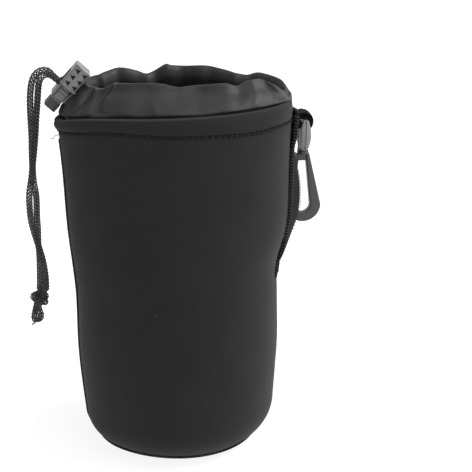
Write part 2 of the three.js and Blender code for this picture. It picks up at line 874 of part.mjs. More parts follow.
// The hook is a flat J: two straight edges that widen down to the bend, the bend,
// and a short upright tip.
function hookOutline() {
  const shape = new THREE.Shape();
  const tipZ = bendZ + tipHeight;
  const tipHalf = (bendInX - bendInner - bendOutX + bendRadius) / 2;
  const shoulder = tipZ - tipHalf / 2;
  shape.moveTo(spineInX, -collarHeight);
  shape.lineTo(spineOutX, -collarHeight);
  shape.lineTo(bendOutX + bendRadius, bendZ);
  shape.absarc(bendOutX, bendZ, bendRadius, 0, -Math.PI, true);
  shape.lineTo(tipX - tipHalf, shoulder);
  shape.lineTo(tipX - tipHalf / 2, tipZ);
  shape.lineTo(tipX + tipHalf / 2, tipZ);
  shape.lineTo(tipX + tipHalf, shoulder);
  shape.lineTo(bendInX - bendInner, bendZ);
  shape.absarc(bendInX, bendZ, bendInner, -Math.PI, 0, false);
  return shape;
}

function hookPlateSolid() {
  const depth = hookPlate - 2 * hookBevel;
  const settings = {
    depth,
    bevelThickness: hookBevel,
    bevelSize: hookBevel,
    bevelOffset: -hookBevel,
    bevelSegments: 2,
    curveSegments: 14,
  };
  const plate = new THREE.ExtrudeGeometry(hookOutline(), settings);
  return plate.translate(0, 0, -depth / 2).rotateX(Math.PI / 2);
}

function hookBody() {
  const plate = hookPlateSolid();
  const foot = rod(collarSize, collarHeight, 'z', 0, 0, -gap - collarHeight / 2);
  const pinLength = barrelHeight + 2 * gap + collarHeight;
  const pin = rod(pinSize, pinLength, 'z', 0, 0, barrelHeight + gap - pinLength / 2);
  const headZ = barrelHeight + gap + pinHeadThick / 2;
  const head = rod(pinHeadSize, pinHeadThick, 'z', 0, 0, headZ);
  const lugLength = gatePivotWidth + (spineInX + spineOutX) / 2;
  const lug = box(lugLength, gateLugThick, gateKnuckle, pivotX + lugLength / 2, 0, pivotZ);
  const lugEnd = rod(gateKnuckle, gateLugThick, 'y', pivotX, 0, pivotZ);
  const shift = -(gateForkWidth - gateLugThick) / 2 + gap;
  lug.translate(0, shift, 0);
  lugEnd.translate(0, shift, 0);
  const hole = rod(gatePinSize + 2 * gap, gateForkWidth * 2, 'y', pivotX, 0, pivotZ);
  return cut(join(plate, foot, pin, head, lug, lugEnd), hole);
}

// The gate's bar runs from its pivot to just above the hook's tip.
function gateEnds() {
  const z = bendZ + tipHeight + gap + gateWidth * 0.1;
  return [new THREE.Vector2(pivotX, pivotZ), new THREE.Vector2(tipX, z)];
}

function hookGate() {
  const [top, end] = gateEnds();
  const length = top.distanceTo(end);
  const tilt = Math.atan2(end.x - top.x, top.y - end.y);
  const outer = gateForkWidth + 2 * gateCheekThick;
  const blade = box(gateWidth, outer, length, 0, 0, -length / 2);
  const knuckle = rod(gateKnuckle, outer, 'y');
  const fork = gateKnuckle / 2 + gap;
  const slot = box(gateKnuckle * 2, gateForkWidth, fork * 2 + gap, 0, 0, 0);
  const pinHole = rod(gatePinSize + 2 * gap, outer * 2, 'y');
  const solid = cut(join(blade, knuckle), slot, pinHole);
  return solid.rotateY(-tilt).translate(top.x, 0, top.y);
}

function gatePin() {
  const length = gateForkWidth + 2 * gateCheekThick;
  return rod(gatePinSize, length, 'y', pivotX, 0, pivotZ);
}

function gateSpring() {
  const room = gateForkWidth - gateLugThick - 4 * gap;
  const size = gatePinSize + 2 * gap + 2 * gateSpringWire;
  const wound = coil(size, gateSpringWire, gateSpringTurns, room, 8, 5);
  wound.rotateZ(Math.PI / 2);
  return wound.translate(pivotX, gateForkWidth / 2 - gap - room, pivotZ);
}

// Materials: colour, roughness, metalness

const foam = [0x2c2c2e, 0.9, 0];
const nylon = [0x3c3c40, 0.7, 0];
const webbing = [0x2a2a2c, 0.85, 0];
const thread = [0x242426, 0.8, 0];
const cordBlack = [0x1a1a1b, 0.9, 0];
const plastic = [0x55565a, 0.5, 0];
const plasticDark = [0x3a3b3e, 0.5, 0];
const steel = [0x9a9b9e, 0.35, 0.9];
const hookGrey = [0x5a5b5e, 0.4, 0.6];

const pouch = new THREE.Group();

function place(group, name, geometry, [color, roughness, metalness]) {
  const material = new THREE.MeshStandardMaterial({ color, roughness, metalness });
  const mesh = new THREE.Mesh(geometry, material);
  mesh.name = name;
  group.add(mesh);
  return mesh;
}

// Body

place(pouch, 'front_panel', panel(Math.PI), foam);
place(pouch, 'back_panel', panel(0), foam);
place(pouch, 'base_panel', basePanel(), foam);
place(pouch, 'left_side_seam', sideSeam(Math.PI), thread);
place(pouch, 'right_side_seam', sideSeam(0), thread);
place(pouch, 'base_seam', baseSeam(), thread);
place(pouch, 'hem_stitching', hemStitching(), thread);

// Collar and cord

place(pouch, 'collar', collar(), nylon);
place(pouch, 'drawcord_loop', drawcordLoop(), cordBlack);
place(pouch, 'cord_strand_front', strand(1), cordBlack);
place(pouch, 'cord_strand_back', strand(-1), cordBlack);
place(pouch, 'cord_knot', knot(), cordBlack);

// Cord lock

const lock = new THREE.Group();
const lean = (lockLean * Math.PI) / 180;
lock.rotation.y = -lean;
lock.position.set(
  lockX - cordAlong * Math.cos(lean),
  lockY,
  lockZ - cordAlong * Math.sin(lean),
);
pouch.add(lock);
place(lock, 'cord_lock_barrel', lockBarrel(), plastic);
place(lock, 'cord_lock_plunger', lockPlunger(), plasticDark);
place(lock, 'cord_lock_spring', lockSpring(), steel);

// Belt strap

place(pouch, 'belt_strap', strap(), webbing);
place(pouch, 'strap_tack_top', strapTack(strapTop - tackInset), thread);
place(pouch, 'strap_tack_bottom', strapTack(strapBottom + tackInset + tackHeight), thread);

// Hook and its tab

place(pouch, 'hook_tab', hookTab(), webbing);
place(pouch, 'tab_tack', tabTack(), thread);

const eye = new THREE.Group();
eye.position.set(tabReach, 0, -tabDrop).applyMatrix4(rootFrame);
eye.rotation.z = (tabTurn * Math.PI) / 180;
pouch.add(eye);
place(eye, 'hook_eye', hookEye(), hookGrey);

const hook = new THREE.Group();
hook.position.set(0, 0, -eyeHeight);
hook.rotation.z = -eye.rotation.z;
eye.add(hook);
place(hook, 'hook_body', hookBody(), hookGrey);
place(hook, 'hook_gate', hookGate(), hookGrey);
place(hook, 'gate_pin', gatePin(), steel);
place(hook, 'gate_spring', gateSpring(), steel);

export default pouch;
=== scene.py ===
from math import asin, atan2, ceil, cos, exp, hypot, pi, radians, sin, sqrt

import bmesh
import bpy
from mathutils import Matrix, Vector, noise


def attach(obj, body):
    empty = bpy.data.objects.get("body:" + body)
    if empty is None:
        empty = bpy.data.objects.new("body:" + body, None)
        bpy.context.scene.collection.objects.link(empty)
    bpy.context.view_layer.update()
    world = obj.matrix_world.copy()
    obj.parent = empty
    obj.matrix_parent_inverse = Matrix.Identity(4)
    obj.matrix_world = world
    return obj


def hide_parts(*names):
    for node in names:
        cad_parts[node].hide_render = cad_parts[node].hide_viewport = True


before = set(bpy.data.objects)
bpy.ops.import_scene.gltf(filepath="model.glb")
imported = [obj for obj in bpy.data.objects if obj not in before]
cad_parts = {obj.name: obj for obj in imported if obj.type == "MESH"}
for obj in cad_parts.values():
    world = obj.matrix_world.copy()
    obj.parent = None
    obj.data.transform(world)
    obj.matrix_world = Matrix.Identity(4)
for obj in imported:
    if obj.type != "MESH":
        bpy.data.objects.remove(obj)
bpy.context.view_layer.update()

scene = bpy.context.scene
scene.view_settings.view_transform = "Standard"


# Camera
# It stands half a metre in front of the pouch, a little to the left, and looks down
# on it by 19 degrees, as the photograph does.

camera_turn, camera_dip, camera_yaw = radians(-5), radians(19.16), radians(2.84)
ahead = Vector((-sin(camera_turn), cos(camera_turn), 0))
rightwards = Vector((ahead.y, -ahead.x, 0))
sight = ahead * cos(camera_dip) - Vector((0, 0, sin(camera_dip)))
upwards = rightwards.cross(sight)
sight, rightwards = (
    sight * cos(camera_yaw) + rightwards * sin(camera_yaw),
    rightwards * cos(camera_yaw) - sight * sin(camera_yaw),
)
camera_data = bpy.data.cameras.new("camera")
camera_data.lens = 84.94
camera_data.sensor_width = 36
camera = bpy.data.objects.new("camera", camera_data)
scene.collection.objects.link(camera)
stand = Vector((-0.0436, -0.4981, 0.275))
axes = Matrix((rightwards, upwards, -sight)).transposed().to_4x4()
camera.matrix_world = Matrix.Translation(stand) @ axes
scene.camera = camera


# Table and studio light
# A white table top in a white room, lit by a broad soft lamp at the right, a low
# weak one in front and one above.

def node(tree, kind, wires=None, **settings):
    """Add a shader node; wires are its inputs, each a value or another node's output."""
    made = tree.nodes.new("ShaderNode" + kind)
    for name, value in settings.items():
        setattr(made, name, value)
    for name, value in (wires or {}).items():
        if isinstance(value, bpy.types.NodeSocket):
            tree.links.new(value, made.inputs[name])
        else:
            made.inputs[name].default_value = value
    return made


def seen_directly(tree):
    """1 for what the camera sees straight, mirrored or through glass, else 0."""
    rays = node(tree, "LightPath")
    mirrored = node(tree, "Math", {0: rays.outputs["Is Camera Ray"],
                                   1: rays.outputs["Is Glossy Ray"]}, operation="MAXIMUM")
    return node(tree, "Math", {0: mirrored.outputs[0],
                               1: rays.outputs["Is Transmission Ray"]},
                operation="MAXIMUM").outputs[0]


# How bright the room and the table top near the pouch are, and how far from the
# middle of the pouch, in metres, the table top begins and ends its climb to white.
room_light, near_light, near_end, white_start = 0.22, 0.88, 0.05, 0.16
room = bpy.data.worlds.new("white_room")
scene.world = room
room.use_nodes = True
sky = room.node_tree.nodes["Background"]
sky.inputs["Color"].default_value = (1, 1, 1, 1)
strength = node(room.node_tree, "MapRange", {"Value": seen_directly(room.node_tree),
                                             "To Min": room_light, "To Max": 1.0})
room.node_tree.links.new(strength.outputs[0], sky.inputs["Strength"])

table_mesh = bpy.data.meshes.new("table_top")
bm = bmesh.new()
bmesh.ops.create_grid(bm, x_segments=2, y_segments=2, size=6)
bm.to_mesh(table_mesh)
bm.free()
table = bpy.data.objects.new("table_top", table_mesh)
scene.collection.objects.link(table)
laminate = bpy.data.materials.new("white_laminate")
laminate.use_nodes = True
tree = laminate.node_tree
gloss = tree.nodes["Principled BSDF"]
gloss.inputs["Roughness"].default_value = 0.8
gloss.inputs["Specular IOR Level"].default_value = 0.1
gloss.inputs["Emission Color"].default_value = (1, 1, 1, 1)
seen = seen_directly(tree)
paint = node(tree, "Mix", {"Factor": seen, 6: (0.95, 0.95, 0.95, 1),
                           7: (0.3, 0.3, 0.3, 1)}, data_type="RGBA")
tree.links.new(paint.outputs[2], gloss.inputs["Base Color"])
middle = node(tree, "TexCoord")
away = node(tree, "VectorMath", {0: middle.outputs["Object"]}, operation="LENGTH")
even = node(tree, "MapRange", {"Value": away.outputs["Value"], "From Min": near_end,
                               "From Max": white_start, "To Min": near_light, "To Max": 1.0})
lift = node(tree, "Math", {0: seen, 1: even.outputs[0]}, operation="MULTIPLY")
tree.links.new(lift.outputs[0], gloss.inputs["Emission Strength"])
table_mesh.materials.append(laminate)


def softbox(name, place, aim, width, watts):
    """A square lamp that shines from a place towards an aim, both in metres."""
    data = bpy.data.lights.new(name, "AREA")
    data.size = width
    data.energy = watts
    lamp = bpy.data.objects.new(name, data)
    scene.collection.objects.link(lamp)
    direction = Vector(aim) - Vector(place)
    turned = direction.to_track_quat("-Z", "Y").to_matrix().to_4x4()
    lamp.matrix_world = Matrix.Translation(place) @ turned


softbox("softbox_right", (1.2, 0.0, 1.15), (0, 0, 0.08), 0.9, 18)
softbox("softbox_front", (0.5, -1.6, 0.12), (0, 0, 0.04), 0.9, 5)
softbox("softbox_top", (0.45, -0.35, 1.6), (0, 0, 0.08), 1.0, 6)


# Free cord
# Two strands of a loose hollow braid, 2.6 mm thick, that leave the collar's casing,
# pass through the cord lock, arch over and hang twisted about each other.

cord_size, braid_pitch = 2.6, 8.4
# The braid swells by this much over this run, once it has left the cord lock.
braid_swell, swell_start, swell_run = 0.28, 14, 6
strand_spacing = 3.3
lock_y = -1.0
# Places (x, z) between the two strands, and how far they are twisted there, in degrees.
strand_route = [
    (-43.4, 169.25, -90), (-45.6, 169.38, -90), (-47.72, 170.05, -90), (-51.4, 173.43, -90),
    (-55.09, 176.81, -90), (-56.19, 177.82, -90), (-57.37, 178.9, -90), (-59.2, 180.1, -74),
    (-61.2, 180.2, -58), (-63.2, 179.0, -40), (-64.6, 176.7, -26), (-65.4, 173.0, -10),
    (-65.9, 168.0, 12), (-66.4, 160.0, 44), (-66.7, 152.0, 62), (-67.2, 145.0, 74),
    (-67.7, 137.9, 90), (-68.1, 130.0, 114), (-68.3, 121.2, 178), (-68.2, 112.5, 212),
    (-67.5, 106.0, 240), (-66.8, 100.2, 270), (-65.9, 94.0, 292), (-65.5, 89.0, 309),
    (-65.3, 82.0, 328), (-65.5, 76.9, 335),
]


def smooth_at(places, values, place):
    """Value of a smooth curve through the given values at the given places."""
    last = len(places) - 1
    i = 0
    while i < last - 1 and place > places[i + 1]:
        i += 1
    span = places[i + 1] - places[i]

    def slope(k):
        low, high = max(k - 1, 0), min(k + 1, last)
        return (values[high] - values[low]) / (places[high] - places[low])

    t = (place - places[i]) / span
    curve = 2 * t ** 3 - 3 * t ** 2
    rise = (t ** 3 - 2 * t ** 2 + t) * slope(i) + (t ** 3 - t ** 2) * slope(i + 1)
    return values[i] * (curve + 1) - values[i + 1] * curve + span * rise


def along_points(points, step):
    """Evenly spaced points on a smooth curve through the given ones."""
    run = [0.0]
    for a, b in zip(points, points[1:]):
        run.append(run[-1] + (Vector(b) - Vector(a)).length)
    count = ceil(run[-1] / step)
    columns = list(zip(*points))
    return [Vector([smooth_at(run, column, run[-1] * k / count) for column in columns])
            for k in range(count + 1)]


def strand_line(half):
    """Centre line of one strand, in millimetres, from the casing to the knot."""
    middle = along_points([(x, z, 0) for x, z, turned in strand_route], 0.24)
    run = [0.0]
    for (ax, az, _), (bx, bz, _) in zip(strand_route, strand_route[1:]):
        run.append(run[-1] + hypot(bx - ax, bz - az))
    turns = [turned for x, z, turned in strand_route]
    line = []
    for k, here in enumerate(middle):
        before, after = middle[max(k - 1, 0)], middle[min(k + 1, len(middle) - 1)]
        sideways = Vector((before.y - after.y, 0, after.x - before.x)).normalized()
        turned = radians(smooth_at(run, turns, run[-1] * k / (len(middle) - 1)))
        offset = half * strand_spacing / 2
        point = Vector((here.x, lock_y + offset * sin(turned), here.y))
        line.append(point + sideways * offset * cos(turned))
    return line


def laid_grid(bm, columns, rows, place, laid=None):
    """Lay out a grid of faces; place(u, v) gives the point of each corner, and
    laid(u, v) its place on the flat cloth in millimetres."""
    grid = bmesh.ops.create_grid(bm, x_segments=columns, y_segments=rows, size=0.5,
                                 calc_uvs=True)
    if laid:
        chart = bm.loops.layers.uv.active
        for face in {f for corner in grid["verts"] for f in corner.link_faces}:
            for loop in face.loops:
                loop[chart].uv = laid(*loop[chart].uv)
    for corner in grid["verts"]:
        corner.co = place(corner.co.x + 0.5, corner.co.y + 0.5)
    bmesh.ops.remove_doubles(bm, verts=grid["verts"], dist=1e-5)


def frames_along(line, closed=False):
    """Point, sideways and lifting directions at each point of a line."""
    count = len(line)
    frames = []
    side = None
    for k, here in enumerate(line):
        if closed:
            ahead = line[(k + 1) % count] - line[k - 1]
        else:
            ahead = line[min(k + 1, count - 1)] - line[max(k - 1, 0)]
        ahead.normalize()
        if side is None:
            side = ahead.cross((0, 0, 1) if abs(ahead.z) < 0.9 else (0, 1, 0))
        side = (side - ahead * side.dot(ahead)).normalized()
        frames.append((here, side, ahead.cross(side)))
    return frames


def draw_yarn(bm, frames, width, thick, sides=6, closed=False, laid=None):
    """Sweep an oval yarn along its frames; open ends are closed off."""
    count = len(frames) if closed else len(frames) - 1

    def place(u, v):
        here, side, lift = frames[round(u * count) % len(frames)]
        turn = 2 * pi * v
        return here + side * (cos(turn) * width / 2) + lift * (sin(turn) * thick / 2)

    start = len(bm.verts)
    laid_grid(bm, count, sides, place, laid)
    if not closed:
        bm.verts.ensure_lookup_table()
        rims = [e for v in bm.verts[start:] for e in v.link_edges if e.is_boundary]
        bmesh.ops.holes_fill(bm, edges=list(set(rims)), sides=sides)


def draw_braid(bm, line, radius, pitch, carriers=5, width=0.6):
    """Braid yarns over and under each other round a line, both ways round."""
    frames = frames_along(line)
    run = [0.0]
    for a, b in zip(line, line[1:]):
        run.append(run[-1] + (b - a).length)
    for way in (1, -1):
        for yarn in range(carriers):
            laid, rides = [], []
            for (here, side, lift), s in zip(frames, run):
                turn = way * 2 * pi * s / pitch + 2 * pi * yarn / carriers
                out = side * cos(turn) + lift * sin(turn)
                round_it = lift * cos(turn) - side * sin(turn)
                wave = 0.16 * way * cos(2 * pi * s * carriers / pitch + 2 * pi * yarn * way)
                full = radius(s) if callable(radius) else radius
                reach = full - 0.3 + wave
                lead = side.cross(lift)
                across = (round_it - lead * way * (2 * pi * full / pitch)).normalized()
                laid.append((here + out * reach, across, out))
                rides.append(0.5 + wave / 0.32)

            # The yarn's map holds the painted highlight and shade that cord_yarn reads: high where
            # the yarn rides over and on its outer side, low where it dives and on its inner side.
            def ride(u, v):
                return u, rides[round(u * (len(rides) - 1))] * (0.6 + 0.4 * sin(2 * pi * v))

            draw_yarn(bm, laid, width, 0.34, sides=6, laid=ride)


def put(name, bm, finish, body, slot, *nodes, sharp=40):
    """Finish a piece modelled in millimetres and fix it to its body."""
    bmesh.ops.recalc_face_normals(bm, faces=bm.faces)
    for edge in bm.edges:
        edge.smooth = edge.calc_face_angle(0) < radians(sharp)
    for face in bm.faces:
        face.smooth = True
    bmesh.ops.scale(bm, vec=(0.001, 0.001, 0.001), verts=bm.verts)
    mesh = bpy.data.meshes.new(name)
    bm.to_mesh(mesh)
    bm.free()
    mesh.materials.append(finish)
    piece = bpy.data.objects.new(name, mesh)
    scene.collection.objects.link(piece)
    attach(piece, body)
    if nodes:
        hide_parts(*nodes)
    return piece


def new_mesh():
    """An empty mesh with a cloth map for the weave."""
    bm = bmesh.new()
    bm.loops.layers.uv.new("cloth")
    return bm


def group(name, inputs, outputs):
    """A shader node group with named number, colour and vector sockets."""
    made = bpy.data.node_groups.new(name, "ShaderNodeTree")
    kinds = {"value": "NodeSocketFloat", "colour": "NodeSocketColor",
             "vector": "NodeSocketVector"}
    for title, kind, start in inputs:
        socket = made.interface.new_socket(title, in_out="INPUT", socket_type=kinds[kind])
        if start is not None:
            socket.default_value = start
    for title, kind in outputs:
        made.interface.new_socket(title, in_out="OUTPUT", socket_type=kinds[kind])
    return made, made.nodes.new("NodeGroupInput"), made.nodes.new("NodeGroupOutput")


# Soft mottling and fine fibres that every cloth here has, from the place on the piece.
fibres, given, out = group(
    "cloth_fibres",
    [("Place", "vector", None), ("Fibre", "value", 3000.0), ("Mottle", "value", 60.0),
     ("Colour", "colour", (0.03, 0.03, 0.03, 1)), ("Worn", "colour", (0.06, 0.06, 0.06, 1))],
    [("Colour", "colour"), ("Height", "value"), ("Roughness", "value")],
)
fine = node(fibres, "TexNoise", {"Vector": given.outputs["Place"],
                                 "Scale": given.outputs["Fibre"], "Detail": 2.0})
broad = node(fibres, "TexNoise", {"Vector": given.outputs["Place"],
                                  "Scale": given.outputs["Mottle"], "Detail": 3.0})
both = node(fibres, "Math", {0: fine.outputs[0], 1: broad.outputs[0]}, operation="MULTIPLY")
spread = node(fibres, "MapRange", {"Value": both.outputs[0], "From Min": 0.12,
                                   "From Max": 0.42})
tint = node(fibres, "Mix", {"Factor": spread.outputs[0], 6: given.outputs["Colour"],
                            7: given.outputs["Worn"]}, data_type="RGBA")
rough = node(fibres, "MapRange", {"Value": fine.outputs[0], "To Min": 0.7, "To Max": 0.95})
fibres.links.new(tint.outputs[2], out.inputs["Colour"])
fibres.links.new(fine.outputs[0], out.inputs["Height"])
fibres.links.new(rough.outputs[0], out.inputs["Roughness"])


def grained(name, colour, worn, fibre, mottle):
    """A material with fibres and mottling; returns it, its shader and the pattern."""
    made = bpy.data.materials.new(name)
    made.use_nodes = True
    tree = made.node_tree
    shader = tree.nodes["Principled BSDF"]
    place = node(tree, "TexCoord")
    grain = tree.nodes.new("ShaderNodeGroup")
    grain.node_tree = fibres
    tree.links.new(place.outputs["Object"], grain.inputs["Place"])
    grain.inputs["Fibre"].default_value = fibre
    grain.inputs["Mottle"].default_value = mottle
    grain.inputs["Colour"].default_value = (colour, colour, colour * 1.03, 1)
    grain.inputs["Worn"].default_value = (worn, worn, worn * 1.03, 1)
    tree.links.new(grain.outputs["Colour"], shader.inputs["Base Color"])
    return made, shader, grain


def cloth(name, colour, worn, fibre, mottle, bump, sheen=0.0, roughness=None, shine=0.3):
    """A matt cloth finish; where no roughness is given it changes with the fibres."""
    made, shader, grain = grained(name, colour, worn, fibre, mottle)
    tree = made.node_tree
    if roughness is None:
        tree.links.new(grain.outputs["Roughness"], shader.inputs["Roughness"])
    else:
        shader.inputs["Roughness"].default_value = roughness
    relief = node(tree, "Bump", {"Height": grain.outputs["Height"], "Strength": 0.6,
                                 "Distance": bump})
    tree.links.new(relief.outputs[0], shader.inputs["Normal"])
    shader.inputs["Sheen Weight"].default_value = sheen
    shader.inputs["Sheen Roughness"].default_value = 0.5
    shader.inputs["Specular IOR Level"].default_value = shine
    return made


# Painted highlight and shade: each yarn's colour is made lighter where it rides over another and
# on its outer side, and darker where it dives and on its inner side.
cord_yarn = cloth("cord_yarn", 0.04, 0.09, 4000, 900, 0.0001, sheen=0.1)
tree = cord_yarn.node_tree
chart = node(tree, "UVMap", uv_map="cloth")
height = node(tree, "SeparateXYZ", {0: chart.outputs[0]})
shade = node(tree, "MapRange", {"Value": height.outputs["Y"], "To Min": 0.05, "To Max": 2.2})
plain = tree.nodes["Principled BSDF"].inputs["Base Color"].links[0].from_socket
# The base colour is scaled by the painted highlight and shade.
painted_shading = node(tree, "VectorMath", {0: plain, "Scale": shade.outputs[0]}, operation="SCALE")
tree.links.new(painted_shading.outputs[0], tree.nodes["Principled BSDF"].inputs["Base Color"])


def strand_radius(s):
    """The braid is drawn thin inside the cord lock and swells where it hangs free."""
    return cord_size / 2 + braid_swell * min(1.0, max(0.0, (s - swell_start) / swell_run))


strands = []
for name, half in (("cord_strand_front", 1), ("cord_strand_back", -1)):
    line = strand_line(half)
    bm = new_mesh()
    draw_braid(bm, line, strand_radius, braid_pitch)
    strand = put("braided_" + name[5:], bm, cord_yarn, "pouch", "cord", name)
    strands.append((strand, [p / 1000 for p in line]))


# Knot and trimmed ends
# Both strands are tied in one overhand knot: a strand crosses over the front, and the
# trimmed ends below it have swelled and begun to open.

def draw_end(bm, points, radii):
    """A braided end whose radius follows the given ones and closes at its tip."""
    line = along_points(points, 0.25)
    run = [0.0]
    for a, b in zip(points, points[1:]):
        run.append(run[-1] + (b - a).length)
    draw_braid(bm, line, lambda s: max(0.32, smooth_at(run, radii, min(s, run[-1]))),
               braid_pitch)


def tie(x, y, z):
    """Point of the knot; y is measured back from the middle of the cords."""
    return Vector((x, lock_y + y, z))


bm = new_mesh()
wrap = [tie(-64.6, -1.9, 72.6), tie(-64.1, 0.2, 73.3), tie(-65.6, 2.4, 74.0),
        tie(-68.2, 2.3, 74.0), tie(-70.2, 0.6, 73.5), tie(-69.5, -1.9, 73.0),
        tie(-67.4, -3.0, 72.5), tie(-65.4, -2.6, 71.4), tie(-64.5, -0.8, 70.7),
        tie(-65.2, 1.6, 70.8), tie(-67.4, 2.2, 71.2), tie(-69.0, 0.9, 71.4)]
draw_end(bm, wrap, [0.9, 1.4, 1.45, 1.45, 1.5, 1.5, 1.5, 1.5, 1.5, 1.4, 1.2, 0.6])
draw_end(bm, [tie(-64.2, 0.0, 78.6), tie(-64.9, -0.6, 75.6), tie(-66.4, -1.2, 72.4),
              tie(-67.6, -1.0, 69.0), tie(-67.4, -0.5, 66.2), tie(-67.0, -0.3, 64.2),
              tie(-67.4, -0.2, 62.0), tie(-68.8, -0.1, 60.4)],
         [1.3, 1.3, 1.3, 1.35, 1.5, 1.6, 1.5, 0.6])
draw_end(bm, [tie(-66.9, 0.4, 78.4), tie(-67.1, 0.8, 75.4), tie(-68.0, 0.4, 72.2),
              tie(-69.1, -0.3, 68.8), tie(-69.7, -0.6, 65.8), tie(-70.1, -0.4, 63.2),
              tie(-69.9, -0.2, 61.2), tie(-69.5, 0.0, 60.2)],
         [1.3, 1.3, 1.3, 1.35, 1.45, 1.5, 1.3, 0.5])
for k in range(5):
    end = [tie(-69.0 - 0.2 * k, -0.5 + 0.3 * k, 60.8), tie(-69.9, -0.4 + 0.2 * k, 59.9),
           tie(-70.5 - 0.1 * k, -0.3 + 0.1 * k, 59.4), tie(-71.2, -0.3 + 0.15 * k, 58.8 + 0.1 * k)]
    draw_yarn(bm, frames_along(along_points(end, 0.3)), 0.5, 0.34, sides=5)
knot = put("tied_knot", bm, cord_yarn, "pouch", "cord", "cord_knot")


# Foam body
# Two halves of laminated foam, 3.5 mm thick with a fine knit skin, sewn together down
# both sides. The top edge is turned in and stitched down 8 mm below the fold.

neck_height, wall = 166.0, 3.5
base_radius, rim_left, rim_right, rim_depth = 45.0, 56.2, 50.2, 32.0
rim_forward, rim_tilt, rim_drop = 6.0, 1.9, 4.0
corner_round, corner_round_left = 19.5, 14.0
hem_depth, hem_rise = 8.0, 2.4
seam_width = 5.0
base_seam_width, base_seam_thick, base_seam_turn = 2.6, 4.8, 0.36
clearance, thread_size = 0.3, 0.6
# How deep the stitched groove is and its half width, how far the turned hem stands
# out, how far the cut edges roll in, and how deep the puckers and slow waves are.
groove_deep, groove_beat, groove_half = 0.75, 0.35, 0.85
hem_proud, hem_proud_left, hem_less_right = 0.75, 0.9, 0.4
roll_deep, roll_run, pucker_deep, pucker_run, wave_deep = 1.3, 2.6, 0.16, 4.5, 0.45
# Reach of the wall at each share of its height: 0 at the base's, 1 at the rim's.
heights = [0, 0.11, 0.27, 0.45, 0.53, 0.66, 0.84, 1]
left_way = [-0.05, 0.16, 0.36, 0.40, 0.49, 0.67, 0.80, 1]
right_way = [0, 0.10, 0.38, 0.20, 0.08, 0.95, 1.02, 1]
depth_way = [0, 0.05, 0.18, 0.35, 0.44, 0.58, 0.80, 1]


def reach_at(z, way, rim):
    return base_radius + (rim - base_radius) * smooth_at(heights, way, z / neck_height)


def depth_at(z):
    return reach_at(z, depth_way, rim_depth)


def round_at(turn):
    return corner_round + (corner_round_left - corner_round) * max(0, -cos(turn)) ** 4


def rim_lift(turn, z):
    """Rise of the wall at the right and its dip at the left, near the top edge."""
    dip = (z / neck_height) ** 20 * max(0, -cos(turn)) ** 6
    return rim_tilt * (z / neck_height) ** 2 * cos(turn) - rim_drop * dip


def wall_point(turn, z, inset):
    """Point of the wall at height z, that far inside its outer face."""
    if cos(turn) > 0:
        side = reach_at(z, right_way, rim_right)
    else:
        side = reach_at(z, left_way, rim_left)
    rise = (z / neck_height) ** 2
    return Vector(((side - inset) * cos(turn),
                   (depth_at(z) - inset) * sin(turn) - rim_forward * rise,
                   z + rim_lift(turn, z)))


def corner_point(turn, way, inset):
    """Point of the rounded corner: way 0 at the flat base, 1 at the wall's foot."""
    full = round_at(turn)
    foot = wall_point(turn, full, inset + (full - inset) * (1 - sin(way * pi / 2)))
    foot.z += (inset - full) * cos(way * pi / 2)
    return foot


def seam_way(turn, distance):
    """Place on the corner that far up the wall from the middle of the base seam."""
    return base_seam_turn + distance / (round_at(turn) * pi / 2)


half_seam_gap = base_seam_width / 2 + clearance
corner_rows = 0.15


def body_point(turn, row, inset):
    """Point of the wall; row runs from 0 at the base seam to 1 at the top edge."""
    if row < corner_rows:
        start = seam_way(turn, half_seam_gap)
        return corner_point(turn, start + (1 - start) * row / corner_rows, inset)
    full = round_at(turn)
    part = (row - corner_rows) / (1 - corner_rows)
    return wall_point(turn, full + (neck_height - full) * part, inset)


def edge_turn(row, distance):
    """Angle that a distance along the wall takes up beside a side seam."""
    return asin(distance / depth_at(max(body_point(0, row, 0).z, 0)))


def stitch_height(turn):
    """Height of the hem stitching, which wanders a little."""
    climb = hem_rise * max(0, -sin(turn + pi / 4)) ** 4
    return neck_height - hem_depth + climb + 0.25 * sin(3 * turn + 1) + 0.2 * sin(8 * turn)


hem_stitches = 108


def hem_relief(turn, z):
    """How far the turned hem and its stitching push the outer face in."""
    above = z - stitch_height(turn)
    beat = 0.5 + 0.5 * cos(turn * hem_stitches)
    groove = (groove_deep + groove_beat * beat) * exp(-(above / groove_half) ** 2)
    if above > 0:
        full = (hem_proud + hem_proud_left * max(0, -cos(turn)) ** 8
                - hem_less_right * max(0, cos(turn)) ** 8)
        return groove - full * sin(pi * min(above / hem_depth, 1)) ** 0.5
    return groove - 0.3 * exp(above / 2.5)


def skin_relief(turn, edge, row, point):
    """Inset of the outer skin: rolled edges, seam puckers and slow waves."""
    past = depth_at(max(point.z, 0)) * min(sin(abs(turn - edge[0])), sin(abs(edge[1] - turn)))
    roll = roll_deep * (1 - sqrt(max(0, 1 - (1 - min(past / roll_run, 1)) ** 2)))
    ripple = sin(point.z * 1.25 + 2 * noise.noise(point * 0.05))
    pucker = pucker_deep * ripple * exp(-past / pucker_run)
    spread = Vector((point.x * 0.022, point.y * 0.022, point.z * 0.03))
    slow = wave_deep * noise.noise(spread)
    fade = min(1.0, row / 0.1)
    return roll + (pucker + slow) * fade


def row_height(turn, row):
    """Height of a row of the wall, before the rim's rise and dip."""
    full = round_at(turn)
    return full + (neck_height - full) * (row - corner_rows) / (1 - corner_rows)


def close_ends(bm):
    """Fill every open end of the mesh."""
    bmesh.ops.holes_fill(bm, edges=[e for e in bm.edges if e.is_boundary], sides=0)


